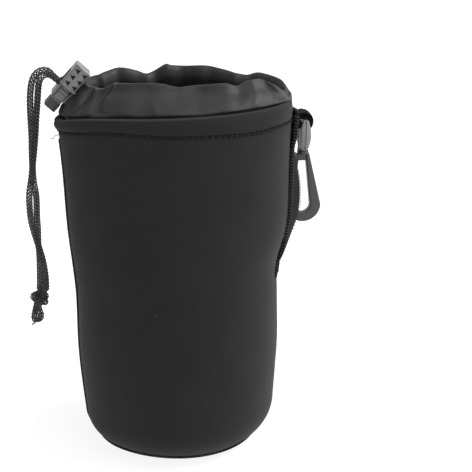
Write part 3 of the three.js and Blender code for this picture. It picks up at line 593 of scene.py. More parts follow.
def foam_half(start):
    """One half of the body: outer skin, fold at the top, lining and lower edge."""
    rows = [i / 14 * corner_rows for i in range(14)]
    hem_row = corner_rows + (1 - corner_rows) * 0.905
    rows += [corner_rows + (hem_row - corner_rows) * i / 96 for i in range(96)]
    rows += [hem_row + (1 - hem_row) * i / 34 for i in range(35)]
    profile = [(row, "skin") for row in rows]
    profile += [(i / 9, "fold") for i in range(1, 9)]
    profile += [(1 - i / 30, "lining") for i in range(31)]
    profile += [(i / 4, "foot") for i in range(1, 5)]
    columns = 190

    def place(u, v):
        at, part = profile[round(v * (len(profile) - 1))]
        row = {"skin": at, "fold": 1, "lining": at, "foot": 0}[part]
        edge = edge_turn(row, seam_width / 2)
        ends = (start + edge, start + pi - edge)
        turn = ends[0] + (ends[1] - ends[0]) * u
        if part == "lining":
            return body_point(turn, row, wall)
        on = body_point(turn, row, 0)
        out = skin_relief(turn, ends, row, on) + hem_relief(turn, row_height(turn, row))
        if part == "fold":
            swing = pi * at
            middle = (wall + out) / 2
            point = body_point(turn, 1, middle - (wall - middle) * cos(swing))
            point.z += 0.8 * sin(swing)
            return point
        if part == "foot":
            return body_point(turn, 0, wall + (out - wall) * at)
        return body_point(turn, row, out)

    def laid(u, v):
        at, part = profile[round(v * (len(profile) - 1))]
        run = {"skin": at * neck_height, "fold": neck_height + at * wall,
               "lining": 2 * neck_height - at * neck_height, "foot": 2 * neck_height + at * wall}
        return 0.5 * pi * (base_radius + rim_depth) * u, run[part]

    bm = new_mesh()
    laid_grid(bm, columns, len(profile) - 1, place, laid)
    close_ends(bm)
    return bm


# Rows of V-shaped loops of a fine knit, on the cloth laid flat in millimetres.
knit, given, out = group("knit_loops", [("Cloth", "vector", None), ("Across", "value", 2.2),
                                        ("Up", "value", 2.6)], [("Height", "value")])
parts = node(knit, "SeparateXYZ", {0: given.outputs["Cloth"]})
across = node(knit, "Math", {0: parts.outputs["X"], 1: given.outputs["Across"]},
              operation="MULTIPLY")
rib = node(knit, "Math", {0: across.outputs[0], 1: 0.5}, operation="PINGPONG")
up = node(knit, "Math", {0: parts.outputs["Y"], 1: given.outputs["Up"]}, operation="MULTIPLY")
slanted = node(knit, "Math", {0: up.outputs[0], 1: rib.outputs[0]}, operation="ADD")
loop = node(knit, "Math", {0: slanted.outputs[0], 1: 0.5}, operation="PINGPONG")
raised = node(knit, "Math", {0: rib.outputs[0], 1: loop.outputs[0]}, operation="MULTIPLY")
full = node(knit, "Math", {0: raised.outputs[0], 1: 4.0}, operation="MULTIPLY")
knit.links.new(full.outputs[0], out.inputs["Height"])


def add_texture(finish, pattern, settings, distance, shade):
    """Press a cloth pattern into a finish: relief, with painted shade in its hollows and a painted
    highlight on its crowns.
    """
    tree = finish.node_tree
    shader = tree.nodes["Principled BSDF"]
    chart = node(tree, "UVMap", uv_map="cloth")
    drawn = tree.nodes.new("ShaderNodeGroup")
    drawn.node_tree = pattern
    tree.links.new(chart.outputs[0], drawn.inputs["Cloth"])
    for name, value in settings.items():
        drawn.inputs[name].default_value = value
    under = shader.inputs["Normal"].links[0].from_socket
    relief = node(tree, "Bump", {"Height": drawn.outputs["Height"], "Strength": 0.8,
                                 "Distance": distance, "Normal": under})
    tree.links.new(relief.outputs[0], shader.inputs["Normal"])
    plain = shader.inputs["Base Color"].links[0].from_socket
    # Painted shade in the pattern's hollows and painted highlight on its crowns, scaled into the
    # base colour.
    tone = node(tree, "MapRange", {"Value": drawn.outputs["Height"], "To Min": 1 - shade,
                                   "To Max": 1 + shade / 2})
    painted_shading = node(tree, "VectorMath", {0: plain, "Scale": tone.outputs[0]}, operation="SCALE")
    tree.links.new(painted_shading.outputs[0], shader.inputs["Base Color"])


foam_skin = cloth("foam_knit_skin", 0.0095, 0.018, 2600, 45, 0.00006, sheen=0.07)
# The last number is the strength of the painted shade in the knit's hollows.
add_texture(foam_skin, knit, {"Across": 2.2, "Up": 2.6}, 0.00006, 0.3)
tree = foam_skin.node_tree
# A little pale lint clings to the knit.
spots = node(tree, "TexVoronoi", {"Vector": node(tree, "TexCoord").outputs["Object"],
                                  "Scale": 55.0})
lint = node(tree, "MapRange", {"Value": spots.outputs["Distance"], "From Min": 0.012,
                               "From Max": 0.02, "To Min": 0.55, "To Max": 0.0})
dark = tree.nodes["Principled BSDF"].inputs["Base Color"].links[0].from_socket
dusted = node(tree, "Mix", {"Factor": lint.outputs[0], 6: dark, 7: (0.16, 0.16, 0.16, 1)},
              data_type="RGBA")
tree.links.new(dusted.outputs[2], tree.nodes["Principled BSDF"].inputs["Base Color"])
for name, start, node_name in (("foam_front", pi, "front_panel"), ("foam_back", 0, "back_panel")):
    half = put(name, foam_half(start), foam_skin, "pouch", "foam", node_name, sharp=80)


# Hem stitching
# One row of lockstitch in black thread round the turned hem, each stitch pulled into
# the foam, with a loose end beside the left seam.

bm = new_mesh()
for k in range(hem_stitches):
    start, end = (2 * pi * (k + s) / hem_stitches for s in (0.06, 0.94))
    line = []
    for i in range(7):
        turn = start + (end - start) * i / 6
        sunk = 1.5 - 1.25 * sin(pi * i / 6) ** 0.6
        z = stitch_height(turn)
        line.append(wall_point(turn, z, hem_relief(turn, z) - 1.0 + sunk))
    draw_yarn(bm, frames_along(line), 0.62, 0.5, sides=6)
loose = [wall_point(pi + 0.12, 157.6, 0.4), wall_point(pi + 0.11, 156.4, -0.8),
         wall_point(pi + 0.06, 155.6, -1.9), wall_point(pi + 0.05, 154.2, -2.7),
         wall_point(pi + 0.02, 153.8, -4.0)]
draw_yarn(bm, frames_along(along_points(loose, 0.4)), 0.32, 0.32, sides=5)
sewing_thread = cloth("sewing_thread", 0.012, 0.035, 6000, 400, 0.00008)
put("hem_lockstitch", bm, sewing_thread, "pouch", "thread", "hem_stitching")


# Side seams
# The edges of the foam halves are butted and oversewn with a three-thread overlock, so
# each side carries a low ridge with a zigzag of thread over it.

overlock_pitch = 2.1
seam_end = neck_height - hem_depth - 2 * seam_width
# The ridge's middle lies this deep in the foam; how full it is, its teeth, and how far
# it stays clear of the lining.
ridge_deep, ridge_full, ridge_tooth, ridge_clear = 0.9, 0.95, 0.3, 1.1


def ridge(middle, row, across, proud):
    """Point on the ridge over a side seam; across runs from -1 to 1."""
    edge = edge_turn(row, (seam_width / 2 - 0.1) * abs(across))
    turn = middle + (edge if across >= 0 else -edge)
    return body_point(turn, row, -proud)


def zigzag(beat):
    """Place across the seam, from 1 to -1 and back within one beat."""
    return 1 - 4 * beat if beat < 0.5 else 4 * beat - 3


def side_seam(middle):
    """A ridge, a zigzag of thread over it and a line of thread along each edge."""
    bm = new_mesh()
    columns, section = 360, 20

    def place(u, v):
        angle = 2 * pi * v
        across = cos(angle)
        z = body_point(middle, u, 0).z
        flat = 1.0 if z < seam_end else max(0.0, 1 - (z - seam_end) / 4)
        tooth = abs(sin(pi * z / overlock_pitch))
        if sin(angle) >= 0:
            full = ridge_full + ridge_tooth * flat * (1 - 0.6 * tooth)
            proud = full * sin(angle) ** 0.7 - ridge_deep
        else:
            proud = -ridge_deep - (wall - ridge_clear) * abs(sin(angle)) ** 0.5
        return ridge(middle, u, across, proud)

    laid_grid(bm, columns, section, place)
    close_ends(bm)
    line = []
    for row in (i / 1600 for i in range(1601)):
        z = body_point(middle, row, 0).z
        if z > seam_end + 3:
            break
        across = zigzag((z / overlock_pitch) % 1)
        line.append(ridge(middle, row, across * 0.98, 0.5 * sqrt(max(0, 1 - across ** 2)) - 0.1))
    draw_yarn(bm, frames_along(line), 0.62, 0.62, sides=6)
    for across in (-0.62, 0.62):
        run = [ridge(middle, i / 400, across, 0.16 + 0.05 * (-1) ** i) for i in range(372)]
        draw_yarn(bm, frames_along(run), 0.34, 0.3, sides=5)
    return bm


for name, middle in (("left", pi), ("right", 0)):
    put(name + "_overlock", side_seam(middle), sewing_thread, "pouch", "thread",
        name + "_side_seam")


# Base
# A round padded panel of the same foam, oversewn to the wall low on the rounded
# corner, so the seam shows only as a jagged edge from the side.

base_stitches = 134


def base_place(u, v):
    """Outer face from the middle to the seam, the cut edge, then the inner face back."""
    turn = 2 * pi * u
    end = seam_way(turn, -half_seam_gap)
    if v <= 0.45:
        share = v / 0.45
        if share < 0.5:
            flat = corner_point(turn, 0, 0)
            return Vector((flat.x * share * 2, flat.y * share * 2, 0.0))
        return corner_point(turn, end * (share * 2 - 1), 0)
    if v <= 0.55:
        return corner_point(turn, end, wall * (v - 0.45) / 0.1)
    share = (1 - v) / 0.45
    if share < 0.5:
        flat = corner_point(turn, 0, wall)
        return Vector((flat.x * share * 2, flat.y * share * 2, wall))
    return corner_point(turn, end * (share * 2 - 1), wall)


bm = new_mesh()
laid_grid(bm, 144, 60, base_place)
padding = put("foam_base", bm, foam_skin, "pouch", "foam", "base_panel", sharp=80)

bm = new_mesh()


def base_ridge(u, v):
    turn, angle = 2 * pi * u, 2 * pi * v
    beat = 0.12 * cos(turn * base_stitches)
    along = seam_way(turn, (base_seam_width / 2) * cos(angle))
    return corner_point(turn, along, wall / 2 - (base_seam_thick / 2 + beat) * sin(angle))


laid_grid(bm, base_stitches * 6, 14, base_ridge)
line = []
for k in range(base_stitches * 8):
    turn = 2 * pi * k / (base_stitches * 8)
    across = zigzag((k % 8) / 8)
    along = seam_way(turn, across * (base_seam_width / 2 + 0.1))
    line.append(corner_point(turn, along, -0.1 - 0.8 * sqrt(max(0, 1 - across ** 2))))
draw_yarn(bm, frames_along(line, closed=True), 0.55, 0.5, sides=6, closed=True)
put("base_overlock", bm, sewing_thread, "pouch", "thread", "base_seam")


# Collar
# A strip of thin coated nylon, sewn inside the hem and folded over at the top to make
# the casing of the drawcord. The cord gathers it, so it puffs, creases and waves.

collar_thick, collar_sewn = 0.8, 13.0
lip_x, lip_y, lip_half_x, lip_half_y = 2.5, -1.0, 46.1, 21.0
collar_puff, casing_slack, mouth_z = 2.5, 0.5, 169.2
mouth_width, mouth_height, mouth_rise = 8.2, 3.6, 0.2
casing = cord_size / 2 + casing_slack + collar_thick / 2
mouth_bulge, bulge_spread, fan_deep = 4.0, 0.16, 0.7
# The creases are placed in millimetres of cloth: so many in a degree round the collar,
# and so many from its root to its lip. The weave is laid on a strip of its own size.
cloth_per_degree, cloth_up = 0.75, 17
weave_radius, weave_width = 35, 34
# Height of the lip at each place round it, in degrees from the right end.
lip_turns = [0, 12, 28, 35, 42, 49, 57, 69, 78, 90, 97, 100, 107, 113, 118, 127, 134, 144,
             157, 170, 180, 195, 207, 215, 222, 236, 249, 255, 263, 269, 285, 290, 297, 305,
             315, 326, 342, 355, 360]
lip_heights = [173, 175, 176.2, 176.8, 176.5, 175.2, 176.1, 178, 179, 178.6, 179.2, 179.8,
               176.6, 175.9, 177.2, 178.9, 178.8, 177.8, 176.4, 175.4, 174.8, 174.6, 174.5, 175,
               177.2, 178, 178.3, 178, 176.7, 177, 178, 178, 176.7, 178.7, 178.5, 175.8,
               172, 171, 173]
# Creases of the nylon: degrees round and share up the collar along each, then how far
# it stands out or falls in, and its width, both in millimetres.
creases = [
    ([(306.7, 1), (309, 0.25)], 0.8, 2.0),
    ([(315, 1), (321, 0.75), (330, 0.45)], -1.5, 2.2),
    ([(324, 0.95), (336, 0.6)], 0.9, 2.8),
    ([(274, 0.95), (273, 0.3)], -1.0, 4.5),
    ([(257, 0.05), (252, 0.4)], 0.5, 1.4),
    ([(288, 0.8), (291, 0.2)], 0.6, 4.0),
    ([(222.7, 1), (218.3, 0.45), (226, 0)], -1.7, 1.9),
    ([(209.3, 0.9), (214.9, 0.2)], 1.2, 1.7),
    ([(197, 0.75), (210.5, 0.05)], 1.0, 1.5),
    ([(203, 0.85), (204, 0.4)], -2.0, 1.7),
    ([(187, 0.5), (200, 0)], 0.8, 1.6),
    ([(239, 0.2), (233, 0.8)], 0.7, 4.0),
    ([(133, 1), (120, 0.2)], 1.7, 3.0),
    ([(113, 1), (112, 0.3)], -1.3, 2.4),
    ([(106, 1), (104, 0.3)], 1.2, 2.6),
    ([(91, 1), (92, 0.3)], 1.0, 3.4),
    ([(73, 1), (71, 0.4)], 1.0, 3.2),
    ([(57, 1), (60, 0.4)], -1.1, 2.6),
    ([(45, 1), (47, 0.3)], 1.3, 2.6),
    ([(34, 1), (37, 0.3)], -1.0, 2.2),
    ([(150, 1), (147, 0.3)], -1.0, 3.0),
]


def lip_height(turn):
    """Height of the lip, which waves as the gathers rise and fall."""
    return smooth_at(lip_turns, lip_heights, (turn * 180 / pi) % 360)


def inward_at(turn):
    """Direction across the lip, towards the mouth of the pouch."""
    return Vector((-cos(turn) / lip_half_x, -sin(turn) / lip_half_y, 0)).normalized()


def collar_point(turn, way, inwards, z):
    """Point of the collar: way 0 at its sewn root, 1 at the lip, pushed inwards."""
    foot = min(z, neck_height)
    root = wall_point(turn, foot, wall + clearance + collar_thick / 2)
    lifted = root.z - foot
    if inwards > 0.5:
        sunk = min(1.0, max(0.0, (neck_height + 2.5 + lifted - z) / 3))
        way = way * (1 - sunk)
        inwards = max(inwards, 1.4 * sunk)
    lip = Vector((lip_x + lip_half_x * cos(turn), lip_y + lip_half_y * sin(turn), 0))
    point = root.lerp(lip, way) + inward_at(turn) * inwards
    point.z = z + lifted * (1 - way)
    return point


def collar_line(turn):
    """Middle of the collar's section, as (way, inwards, height) places."""
    top = lip_height(turn)
    puff = collar_puff * (1 - 0.75 * max(0, -cos(turn)) ** 3)
    up = top - casing - neck_height
    return [(0, 0, neck_height - collar_sewn), (0, 0, neck_height - collar_sewn / 2),
            (0, 0, neck_height + 0.7),
            (0.15, -0.7 * puff, neck_height + 1 + 0.12 * up),
            (0.6, -puff, neck_height + 0.6 * up),
            (0.95, -0.4 * puff, neck_height + 0.92 * up),
            (1, 0.5 * casing, top), (1, 1.35 * casing, top - 0.6 * casing),
            (1, 1.75 * casing, top - 1.9 * casing), (1, 1.7 * casing, top - 7),
            (0.97, 1.5 * casing, top - 9.5), (0.95, 1.0 * casing, top - 11.5)]


def cord_centre(turn):
    """Centre of the cord in the casing; it comes down to the mouth at the left."""
    low = mouth_z * max(0, -cos(turn)) ** 12
    height = (lip_height(turn) - casing) * (1 - max(0, -cos(turn)) ** 12) + low
    shifted = inward_at(turn) * folds(turn, 1)
    return collar_point(turn, 1, 0.9 * casing, height) - shifted


def nearest(a, b, x, y):
    """Distance from a point to a straight piece of crease, all in millimetres."""
    run, rise = b[0] - a[0], b[1] - a[1]
    share = ((x - a[0]) * run + (y - a[1]) * rise) / (run * run + rise * rise)
    share = min(1.0, max(0.0, share))
    return hypot(x - a[0] - run * share, y - a[1] - rise * share)


laid_creases = [([(cloth_per_degree * turn, cloth_up * share) for turn, share in line],
                 height, width) for line, height, width in creases]


def folds(turn, share):
    """How far the gathered nylon stands out, by place round and up the collar."""
    x, y = cloth_per_degree * (turn * 180 / pi % 360), cloth_up * share
    here = Vector((cos(turn) * 3.2, sin(turn) * 2.4, share * 0.7))
    out = 1.3 * noise.noise(here) + 0.35 * noise.noise(here * 2.7 + Vector((3, 1, 5)))
    for line, height, width in laid_creases:
        if abs(x - line[0][0]) > 30:
            continue
        far = min(nearest(a, b, x, y) for a, b in zip(line, line[1:]))
        out += height * exp(-(far / width) ** 2)
    from_mouth = (turn - pi) * 34
    fan = sin(atan2(cloth_up - y, abs(from_mouth) + 0.001) * 13 + 0.6)
    out += fan_deep * fan * exp(-(from_mouth / 9) ** 2)
    bulge = mouth_bulge * exp(-(turn - pi) ** 4 / bulge_spread) * sin(pi * min(1, share)) ** 0.7
    return (out + bulge) * min(1.0, max(0.0, (share - 0.01) / 0.2))


def collar_place(u, v):
    turn = 2 * pi * u
    line = collar_line(turn)
    places = list(range(len(line)))
    at = v * (len(line) - 1)
    way, inwards, z = (smooth_at(places, [p[i] for p in line], at) for i in range(3))
    up = min(1.0, max(0.0, (at - 2.2) / 4))
    return collar_point(turn, way, inwards, z) - inward_at(turn) * folds(turn, up)


def collar_laid(u, v):
    return 2 * pi * weave_radius * u, weave_width * v


# Over-and-under threads of a plain weave, on the cloth laid flat in millimetres.
weave, given, out = group("plain_weave", [("Cloth", "vector", None), ("Across", "value", 4.0),
                                          ("Up", "value", 4.0)], [("Height", "value")])
parts = node(weave, "SeparateXYZ", {0: given.outputs["Cloth"]})
waves = []
for way, count in (("X", "Across"), ("Y", "Up")):
    turned = node(weave, "Math", {0: parts.outputs[way], 1: given.outputs[count]},
                  operation="MULTIPLY")
    angle = node(weave, "Math", {0: turned.outputs[0], 1: pi}, operation="MULTIPLY")
    waves.append(node(weave, "Math", {0: angle.outputs[0]}, operation="SINE").outputs[0])
crossed = node(weave, "Math", {0: waves[0], 1: waves[1]}, operation="MULTIPLY")
raised = node(weave, "MapRange", {"Value": crossed.outputs[0], "From Min": -1.0})
weave.links.new(raised.outputs[0], out.inputs["Height"])

bm = new_mesh()
laid_grid(bm, 480, 84, collar_place, collar_laid)
# The cords leave the casing through a slit at the left end.
mouth = cord_centre(pi) + Vector((1.5, 0, 0))
hole = [f for f in bm.faces
        if f.calc_center_median().x < mouth.x
        and abs(f.calc_center_median().y - mouth.y) < mouth_width / 2
        and abs(f.calc_center_median().z - mouth.z - mouth_rise) < mouth_height / 2]
bmesh.ops.delete(bm, geom=hole, context="FACES")
coated_nylon = cloth("coated_nylon", 0.028, 0.042, 5000, 60, 0.00004, roughness=0.42,
                     shine=0.2)
# The last number is the strength of the painted shade in the weave's hollows.
add_texture(coated_nylon, weave, {"Across": 3.2, "Up": 3.2}, 0.00005, 0.12)
nylon = put("nylon_collar", bm, coated_nylon, "pouch", "nylon", "collar", sharp=80)
thickness = nylon.modifiers.new("thickness", "SOLIDIFY")
thickness.thickness = 0.0005
thickness.offset = 0

bm = new_mesh()
opening = asin((mouth_width / 2 + cord_size) / lip_half_y)
run = [cord_centre(pi + opening + (2 * pi - 2 * opening) * i / 200) for i in range(201)]
draw_braid(bm, along_points(run, 0.6), cord_size / 2, braid_pitch)
put("casing_cord", bm, cord_yarn, "pouch", "cord", "drawcord_loop")


# Cord lock
# A moulded barrel, open at the front of its mouth, with a sprung plunger that pinches
# both cords. Rows of small three-cornered recesses give the fingers a hold.

def moulded(name, colour, roughness, worn, metal=0.0):
    """A moulded or painted hard finish with a fine grain."""
    made, shader, grain = grained(name, colour, worn, 2200, 160)
    tree = made.node_tree
    rough = node(tree, "MapRange", {"Value": grain.outputs["Height"],
                                    "To Min": roughness - 0.1, "To Max": roughness + 0.1})
    tree.links.new(rough.outputs[0], shader.inputs["Roughness"])
    relief = node(tree, "Bump", {"Height": grain.outputs["Height"], "Strength": 0.3,
                                 "Distance": 0.00004})
    tree.links.new(relief.outputs[0], shader.inputs["Normal"])
    shader.inputs["Metallic"].default_value = metal
    return made


def refinish(name, finish):
    """Give a piece that keeps its own shape its real finish."""
    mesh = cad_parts[name].data
    mesh.materials.clear()
    mesh.materials.append(finish)


lock_plastic = moulded("lock_plastic", 0.22, 0.4, 0.34)
block_plastic = moulded("plunger_plastic", 0.2, 0.45, 0.3)
button_plastic = moulded("button_plastic", 0.07, 0.45, 0.15)
# Painted shade: the floors of the grip recesses are coloured near black for the shade inside them.
recess_painted_shade = moulded("recess_painted_shade", 0.008, 0.7, 0.015)
spring_steel = moulded("spring_steel", 0.5, 0.35, 0.6, metal=1.0)
lock_lean = radians(47.5)
lock_half, lock_half_depth, lock_corner, lock_wall = 3.9, 6.0, 1.6, 0.9
flange_half, flange_half_depth = 4.4, 6.5
window_end, flange_end, slot_start, slot_end, slot_half = 6.2, 7.1, 4.0, 13.2, 3.25
# Where the cords pass, and how far that is from the mouth of the barrel.
grip_x, grip_z, grip_in = -51.4, 173.43, 5.45
lock_mouth = Vector((grip_x - grip_in * cos(lock_lean), lock_y,
                     grip_z - grip_in * sin(lock_lean)))
along_lock = Vector((cos(lock_lean), 0, sin(lock_lean)))
along_cord = Vector((-sin(lock_lean), 0, cos(lock_lean)))


def in_lock(a, c, y):
    """Point in the lock: a from its mouth inwards, c along the cord, y to the back."""
    return lock_mouth + along_lock * a + along_cord * c + Vector((0, y, 0))


def lock_places(point):
    """The same three distances for a point of the part."""
    off = point - lock_mouth
    return off.dot(along_lock), off.dot(along_cord), off.y


def rounded_rim(half_c, half_y, corner, flat_c, flat_y, steps):
    """Corners of a rounded oblong, in order, with extra points along its flats."""
    rim = []
    for k, (side_c, side_y) in enumerate(((1, -1), (1, 1), (-1, 1), (-1, -1))):
        for angle in steps[k]:
            out, back = corner * sin(radians(angle)), corner * cos(radians(angle))
            rim.append((side_c * (half_c - corner + out), side_y * (half_y - corner + back)))
        if k % 2 == 0:
            rim += [(side_c * half_c, way * -side_y) for way in flat_y]
        else:
            rim += [(way * side_c, side_y * half_y) for way in flat_c]
    return rim


# Angles of the points round each corner, and the distance of each ring from the mouth.
fine, back = [0, 30, 50, 70, 90], [90, 60, 30, 0]
fore = [90, 70, 50, 26, 0]
rim = rounded_rim(lock_half, lock_half_depth, lock_corner, [0.8, 0.0, -0.7],
                  [-slot_half, 0.0, slot_half], [fine, back, back[::-1], fore])
stations = [0, 2, 4, 6.2, 7.1, 7.25, 8.45, 9.65, 10.6, 11.8, 13.0, 13.2, 14.05, 15.25,
            16.3, 16.55, 16.85, 17.15, 17.4]


def barrel_place(u, v):
    c, y = rim[round(u * len(rim)) % len(rim)]
    a = stations[round(v * (len(stations) - 1))]
    full = 1 - 0.05 * max(0, (a - 17.15) / 0.25)
    return in_lock(a, c * full, y * full)


def faces_where(bm, test):
    """Faces whose middle passes a test of its three distances in the lock."""
    return [f for f in bm.faces if test(*lock_places(f.calc_center_median()))]


def pulled_out(bm, faces):
    """Extrude the faces, drop the old ones and give the new corners and faces."""
    made = bmesh.ops.extrude_face_region(bm, geom=faces)["geom"]
    bmesh.ops.delete(bm, geom=[f for f in faces if f.is_valid], context="FACES_ONLY")
    return ([v for v in made if isinstance(v, bmesh.types.BMVert)],
            [f for f in made if isinstance(f, bmesh.types.BMFace)])


def round_edges(piece, width):
    """Round the sharp edges of a moulded piece; the width is in metres."""
    edge = piece.modifiers.new("moulded_edge", "BEVEL")
    edge.width = width
    edge.segments = 2
    edge.limit_method = "ANGLE"
    edge.angle_limit = radians(35)


bm = new_mesh()
laid_grid(bm, len(rim), len(stations) - 1, barrel_place)
rims = [e for e in bm.edges if e.is_boundary
        and lock_places(e.verts[0].co)[0] > 17 and lock_places(e.verts[1].co)[0] > 17]
bmesh.ops.holes_fill(bm, edges=rims, sides=0)
window = faces_where(bm, lambda a, c, y: a < window_end and abs(c) < 3 and y < -5)
slots = faces_where(bm, lambda a, c, y: slot_start < a < slot_end and abs(y) < slot_half
                    and abs(c) > 3.5)
bmesh.ops.delete(bm, geom=window + slots, context="FACES")
recess_half, recess_deep = 1.2, 0.95
for middle in (15.25, 11.8, 8.45):
    for centre in (-1.9, 1.9):
        low, high = centre - 1.15, centre + 1.2

        def in_cell(a, c, y):
            return abs(a - middle) < recess_half and low < c < high and y < -4

        for side in (-1, 1):
            cell = faces_where(bm, in_cell)
            parts = set(cell)
            for face in cell:
                parts.update(face.edges, face.verts)
            slant = in_lock(middle, high, 0) - in_lock(middle + side * recess_half, low, 0)
            bmesh.ops.bisect_plane(bm, geom=list(parts), dist=1e-5,
                                   plane_co=in_lock(middle, high, 0),
                                   plane_no=slant.cross((0, 1, 0)))
        recess = faces_where(bm, lambda a, c, y: in_cell(a, c, y)
                             and abs(a - middle) < recess_half * (high - c) / (high - low))
        corners, floors = pulled_out(bm, recess)
        bmesh.ops.translate(bm, vec=(0, recess_deep, 0), verts=corners)
        # Each recess floor takes the near-black painted shade.
        for face in floors:
            face.material_index = 1
groove = faces_where(bm, lambda a, c, y: 16.5 < a < 16.9 and y < -4
                     and (c > 0.4 or -3.2 < c < -0.9))
corners, floors = pulled_out(bm, groove)
bmesh.ops.translate(bm, vec=(0, 0.4, 0), verts=corners)
corners, faces = pulled_out(bm, faces_where(bm, lambda a, c, y: window_end < a < flange_end))
for point in corners:
    a, c, y = lock_places(point.co)
    point.co = in_lock(a, c * flange_half / lock_half, y * flange_half_depth / lock_half_depth)
barrel = put("lock_barrel", bm, lock_plastic, "lock", "plastic", "cord_lock_barrel")
# The second finish is the painted shade of the recess floors.
barrel.data.materials.append(recess_painted_shade)
shell = barrel.modifiers.new("shell", "SOLIDIFY")
shell.thickness = lock_wall / 1000
shell.offset = -1
round_edges(barrel, 0.00013)


def plunger_part(name, sections, holed, finish, *nodes):
    """A ribbed oblong block: sections are (a, half along the cord, half across)."""
    bm = new_mesh()
    sides = [20, 45, 70]
    shape = rounded_rim(1, 1, 0.28, [0.5, 0, -0.5], [-0.69, 0, 0.69],
                        [[0] + sides + [90], [90] + sides[::-1] + [0]] * 2)

    def place(u, v):
        a, half_c, half_y = sections[round(v * (len(sections) - 1))]
        c, y = shape[round(u * len(shape)) % len(shape)]
        return in_lock(a, c * half_c, y * half_y)

    laid_grid(bm, len(shape), len(sections) - 1, place)
    close_ends(bm)
    if holed:
        hole = faces_where(bm, lambda a, c, y: 2.3 < a < 6.9 and abs(y) < 3.3 and abs(c) > 2.2)
        bmesh.ops.delete(bm, geom=hole, context="FACES")
        bmesh.ops.bridge_loops(bm, edges=[e for e in bm.edges if e.is_boundary])
    piece = put(name, bm, finish, "plunger", "plastic_dark", *nodes)
    round_edges(piece, 0.00008)
    return piece


button = [(-6.2, 2.1, 4.1), (-6.05, 2.7, 4.7)]
for rib in range(6):
    start = -5.95 + 0.66 * rib
    button += [(start, 2.95, 4.95), (start + 0.34, 2.95, 4.95), (start + 0.38, 2.5, 4.45),
               (start + 0.62, 2.5, 4.45)]
button += [(-1.95, 2.95, 4.95), (-1.85, 2.5, 4.5), (-1.6, 2.4, 4.3)]
lock_button = plunger_part("lock_button", button, False, button_plastic, "cord_lock_plunger")
block = [(-1.62, 2.4, 4.3), (-1.6, 2.6, 4.8), (-1.2, 2.6, 4.8), (-1.18, 2.3, 4.2),
         (-0.95, 2.3, 4.2), (-0.93, 2.6, 4.8), (-0.62, 2.6, 4.8), (-0.6, 2.3, 4.2),
         (-0.4, 2.3, 4.2), (-0.38, 2.6, 4.85), (2.3, 2.6, 4.85), (2.7, 2.6, 4.85),
         (2.72, 2.5, 4.35), (2.98, 2.5, 4.35), (3.0, 2.6, 4.85), (4.3, 2.6, 4.85),
         (4.4, 2.6, 3.75), (6.9, 2.6, 3.75), (7.0, 2.6, 3.7), (8.6, 2.6, 3.7)]
lock_block = plunger_part("lock_block", block, True, block_plastic)
refinish("cord_lock_spring", spring_steel)

for strand, path in strands:
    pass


# Belt strap
# Polypropylene webbing, 20 mm wide, sewn to the right side at its top and foot and
# bowed out between, with a row of stitches along each edge.

strap_width, strap_thick, strap_near = 20.0, 1.6, -12.0
strap_length, strap_top, strap_foot, gap_top, gap_foot = 80.0, 163.0, 83.0, 154.0, 91.0
sag = 0.2
strap_seat = 2 * clearance + thread_size + sag
strap_bulge, strap_splay = 47.5, 0.48
# The foam gives under the strap by this much, from this height down over this run.
strap_sinks = [(1.2, 152, 6), (0.8, 114, 14)]
rib_pitch = 1.4


def flank_x(z, y):
    """Outer face of the body at the right, at a height and a place across."""
    rise = (z / neck_height) ** 2
    across = (y + rim_forward * rise) / depth_at(z)
    return reach_at(z, right_way, rim_right) * sqrt(max(1 - across ** 2, 0))


def strap_x(z, y):
    """Inner face of the strap: seated at its top and foot, bowed out between."""
    seated = flank_x(z, y) + strap_seat
    for deep, start, run in strap_sinks:
        seated -= deep * min(1, max(0, (start - z) / run))
    if z >= gap_top or z <= gap_foot:
        return seated
    flat = strap_bulge + strap_splay * (y - strap_near)
    share = sin(pi * ((gap_top - z) / (gap_top - gap_foot)) ** 1.3) ** 0.7
    return seated + (max(flat, seated) - seated) * share


def strap_place(u, v):
    z = strap_top + (strap_foot - strap_top) * u
    angle = 2 * pi * v
    full = max(abs(cos(angle)), abs(sin(angle)))
    across, out = cos(angle) / full, sin(angle) / full
    edge = 1 - 0.35 * max(0, abs(across) - 0.9) / 0.1
    rib = cos(2 * pi * z / rib_pitch)
    y = strap_near + strap_width * (0.5 + 0.5 * across) + 0.14 * across * rib
    x = strap_x(z, y) + strap_thick * (0.5 + 0.5 * out * edge) + 0.09 * rib * out
    return Vector((x, y, z))


strap_round = 43


def strap_laid(u, v):
    return strap_round * v, strap_length * u


bm = new_mesh()
laid_grid(bm, 400, 80, strap_place, strap_laid)
close_ends(bm)
webbing = cloth("black_webbing", 0.009, 0.018, 3500, 200, 0.00006, shine=0.1)
# The last number is the strength of the painted shade in the weave's hollows.
add_texture(webbing, weave, {"Across": 1.6, "Up": 1.43}, 0.00022, 0.45)
put("webbing_strap", bm, webbing, "pouch", "webbing", "belt_strap", sharp=80)

# Overcast stitches wrap the two edges of the strap.
bm = new_mesh()
stitches = 52
for side, edge_y in ((-1, strap_near), (1, strap_near + strap_width)):
    for k in range(stitches):
        z = strap_top - 1.2 - (strap_length - 2.4) * (k + 0.5) / stitches
        y = edge_y + side * 0.12
        x = strap_x(z, edge_y)
        loop = [Vector((x + 0.12, edge_y - side * 0.9, z + 0.5)),
                Vector((x - 0.05, y, z + 0.35)),
                Vector((x + strap_thick / 2, y + side * 0.16, z)),
                Vector((x + strap_thick + 0.1, y, z - 0.35)),
                Vector((x + strap_thick + 0.12, edge_y - side * 1.3, z - 0.6))]
        draw_yarn(bm, frames_along(loop), 0.5, 0.36, sides=5)
edge_thread = cloth("edge_thread", 0.03, 0.085, 6000, 400, 0.00006)
put("strap_edge_stitches", bm, edge_thread, "pouch", "thread")

tack_height, tack_inset = 5.0, 2.0


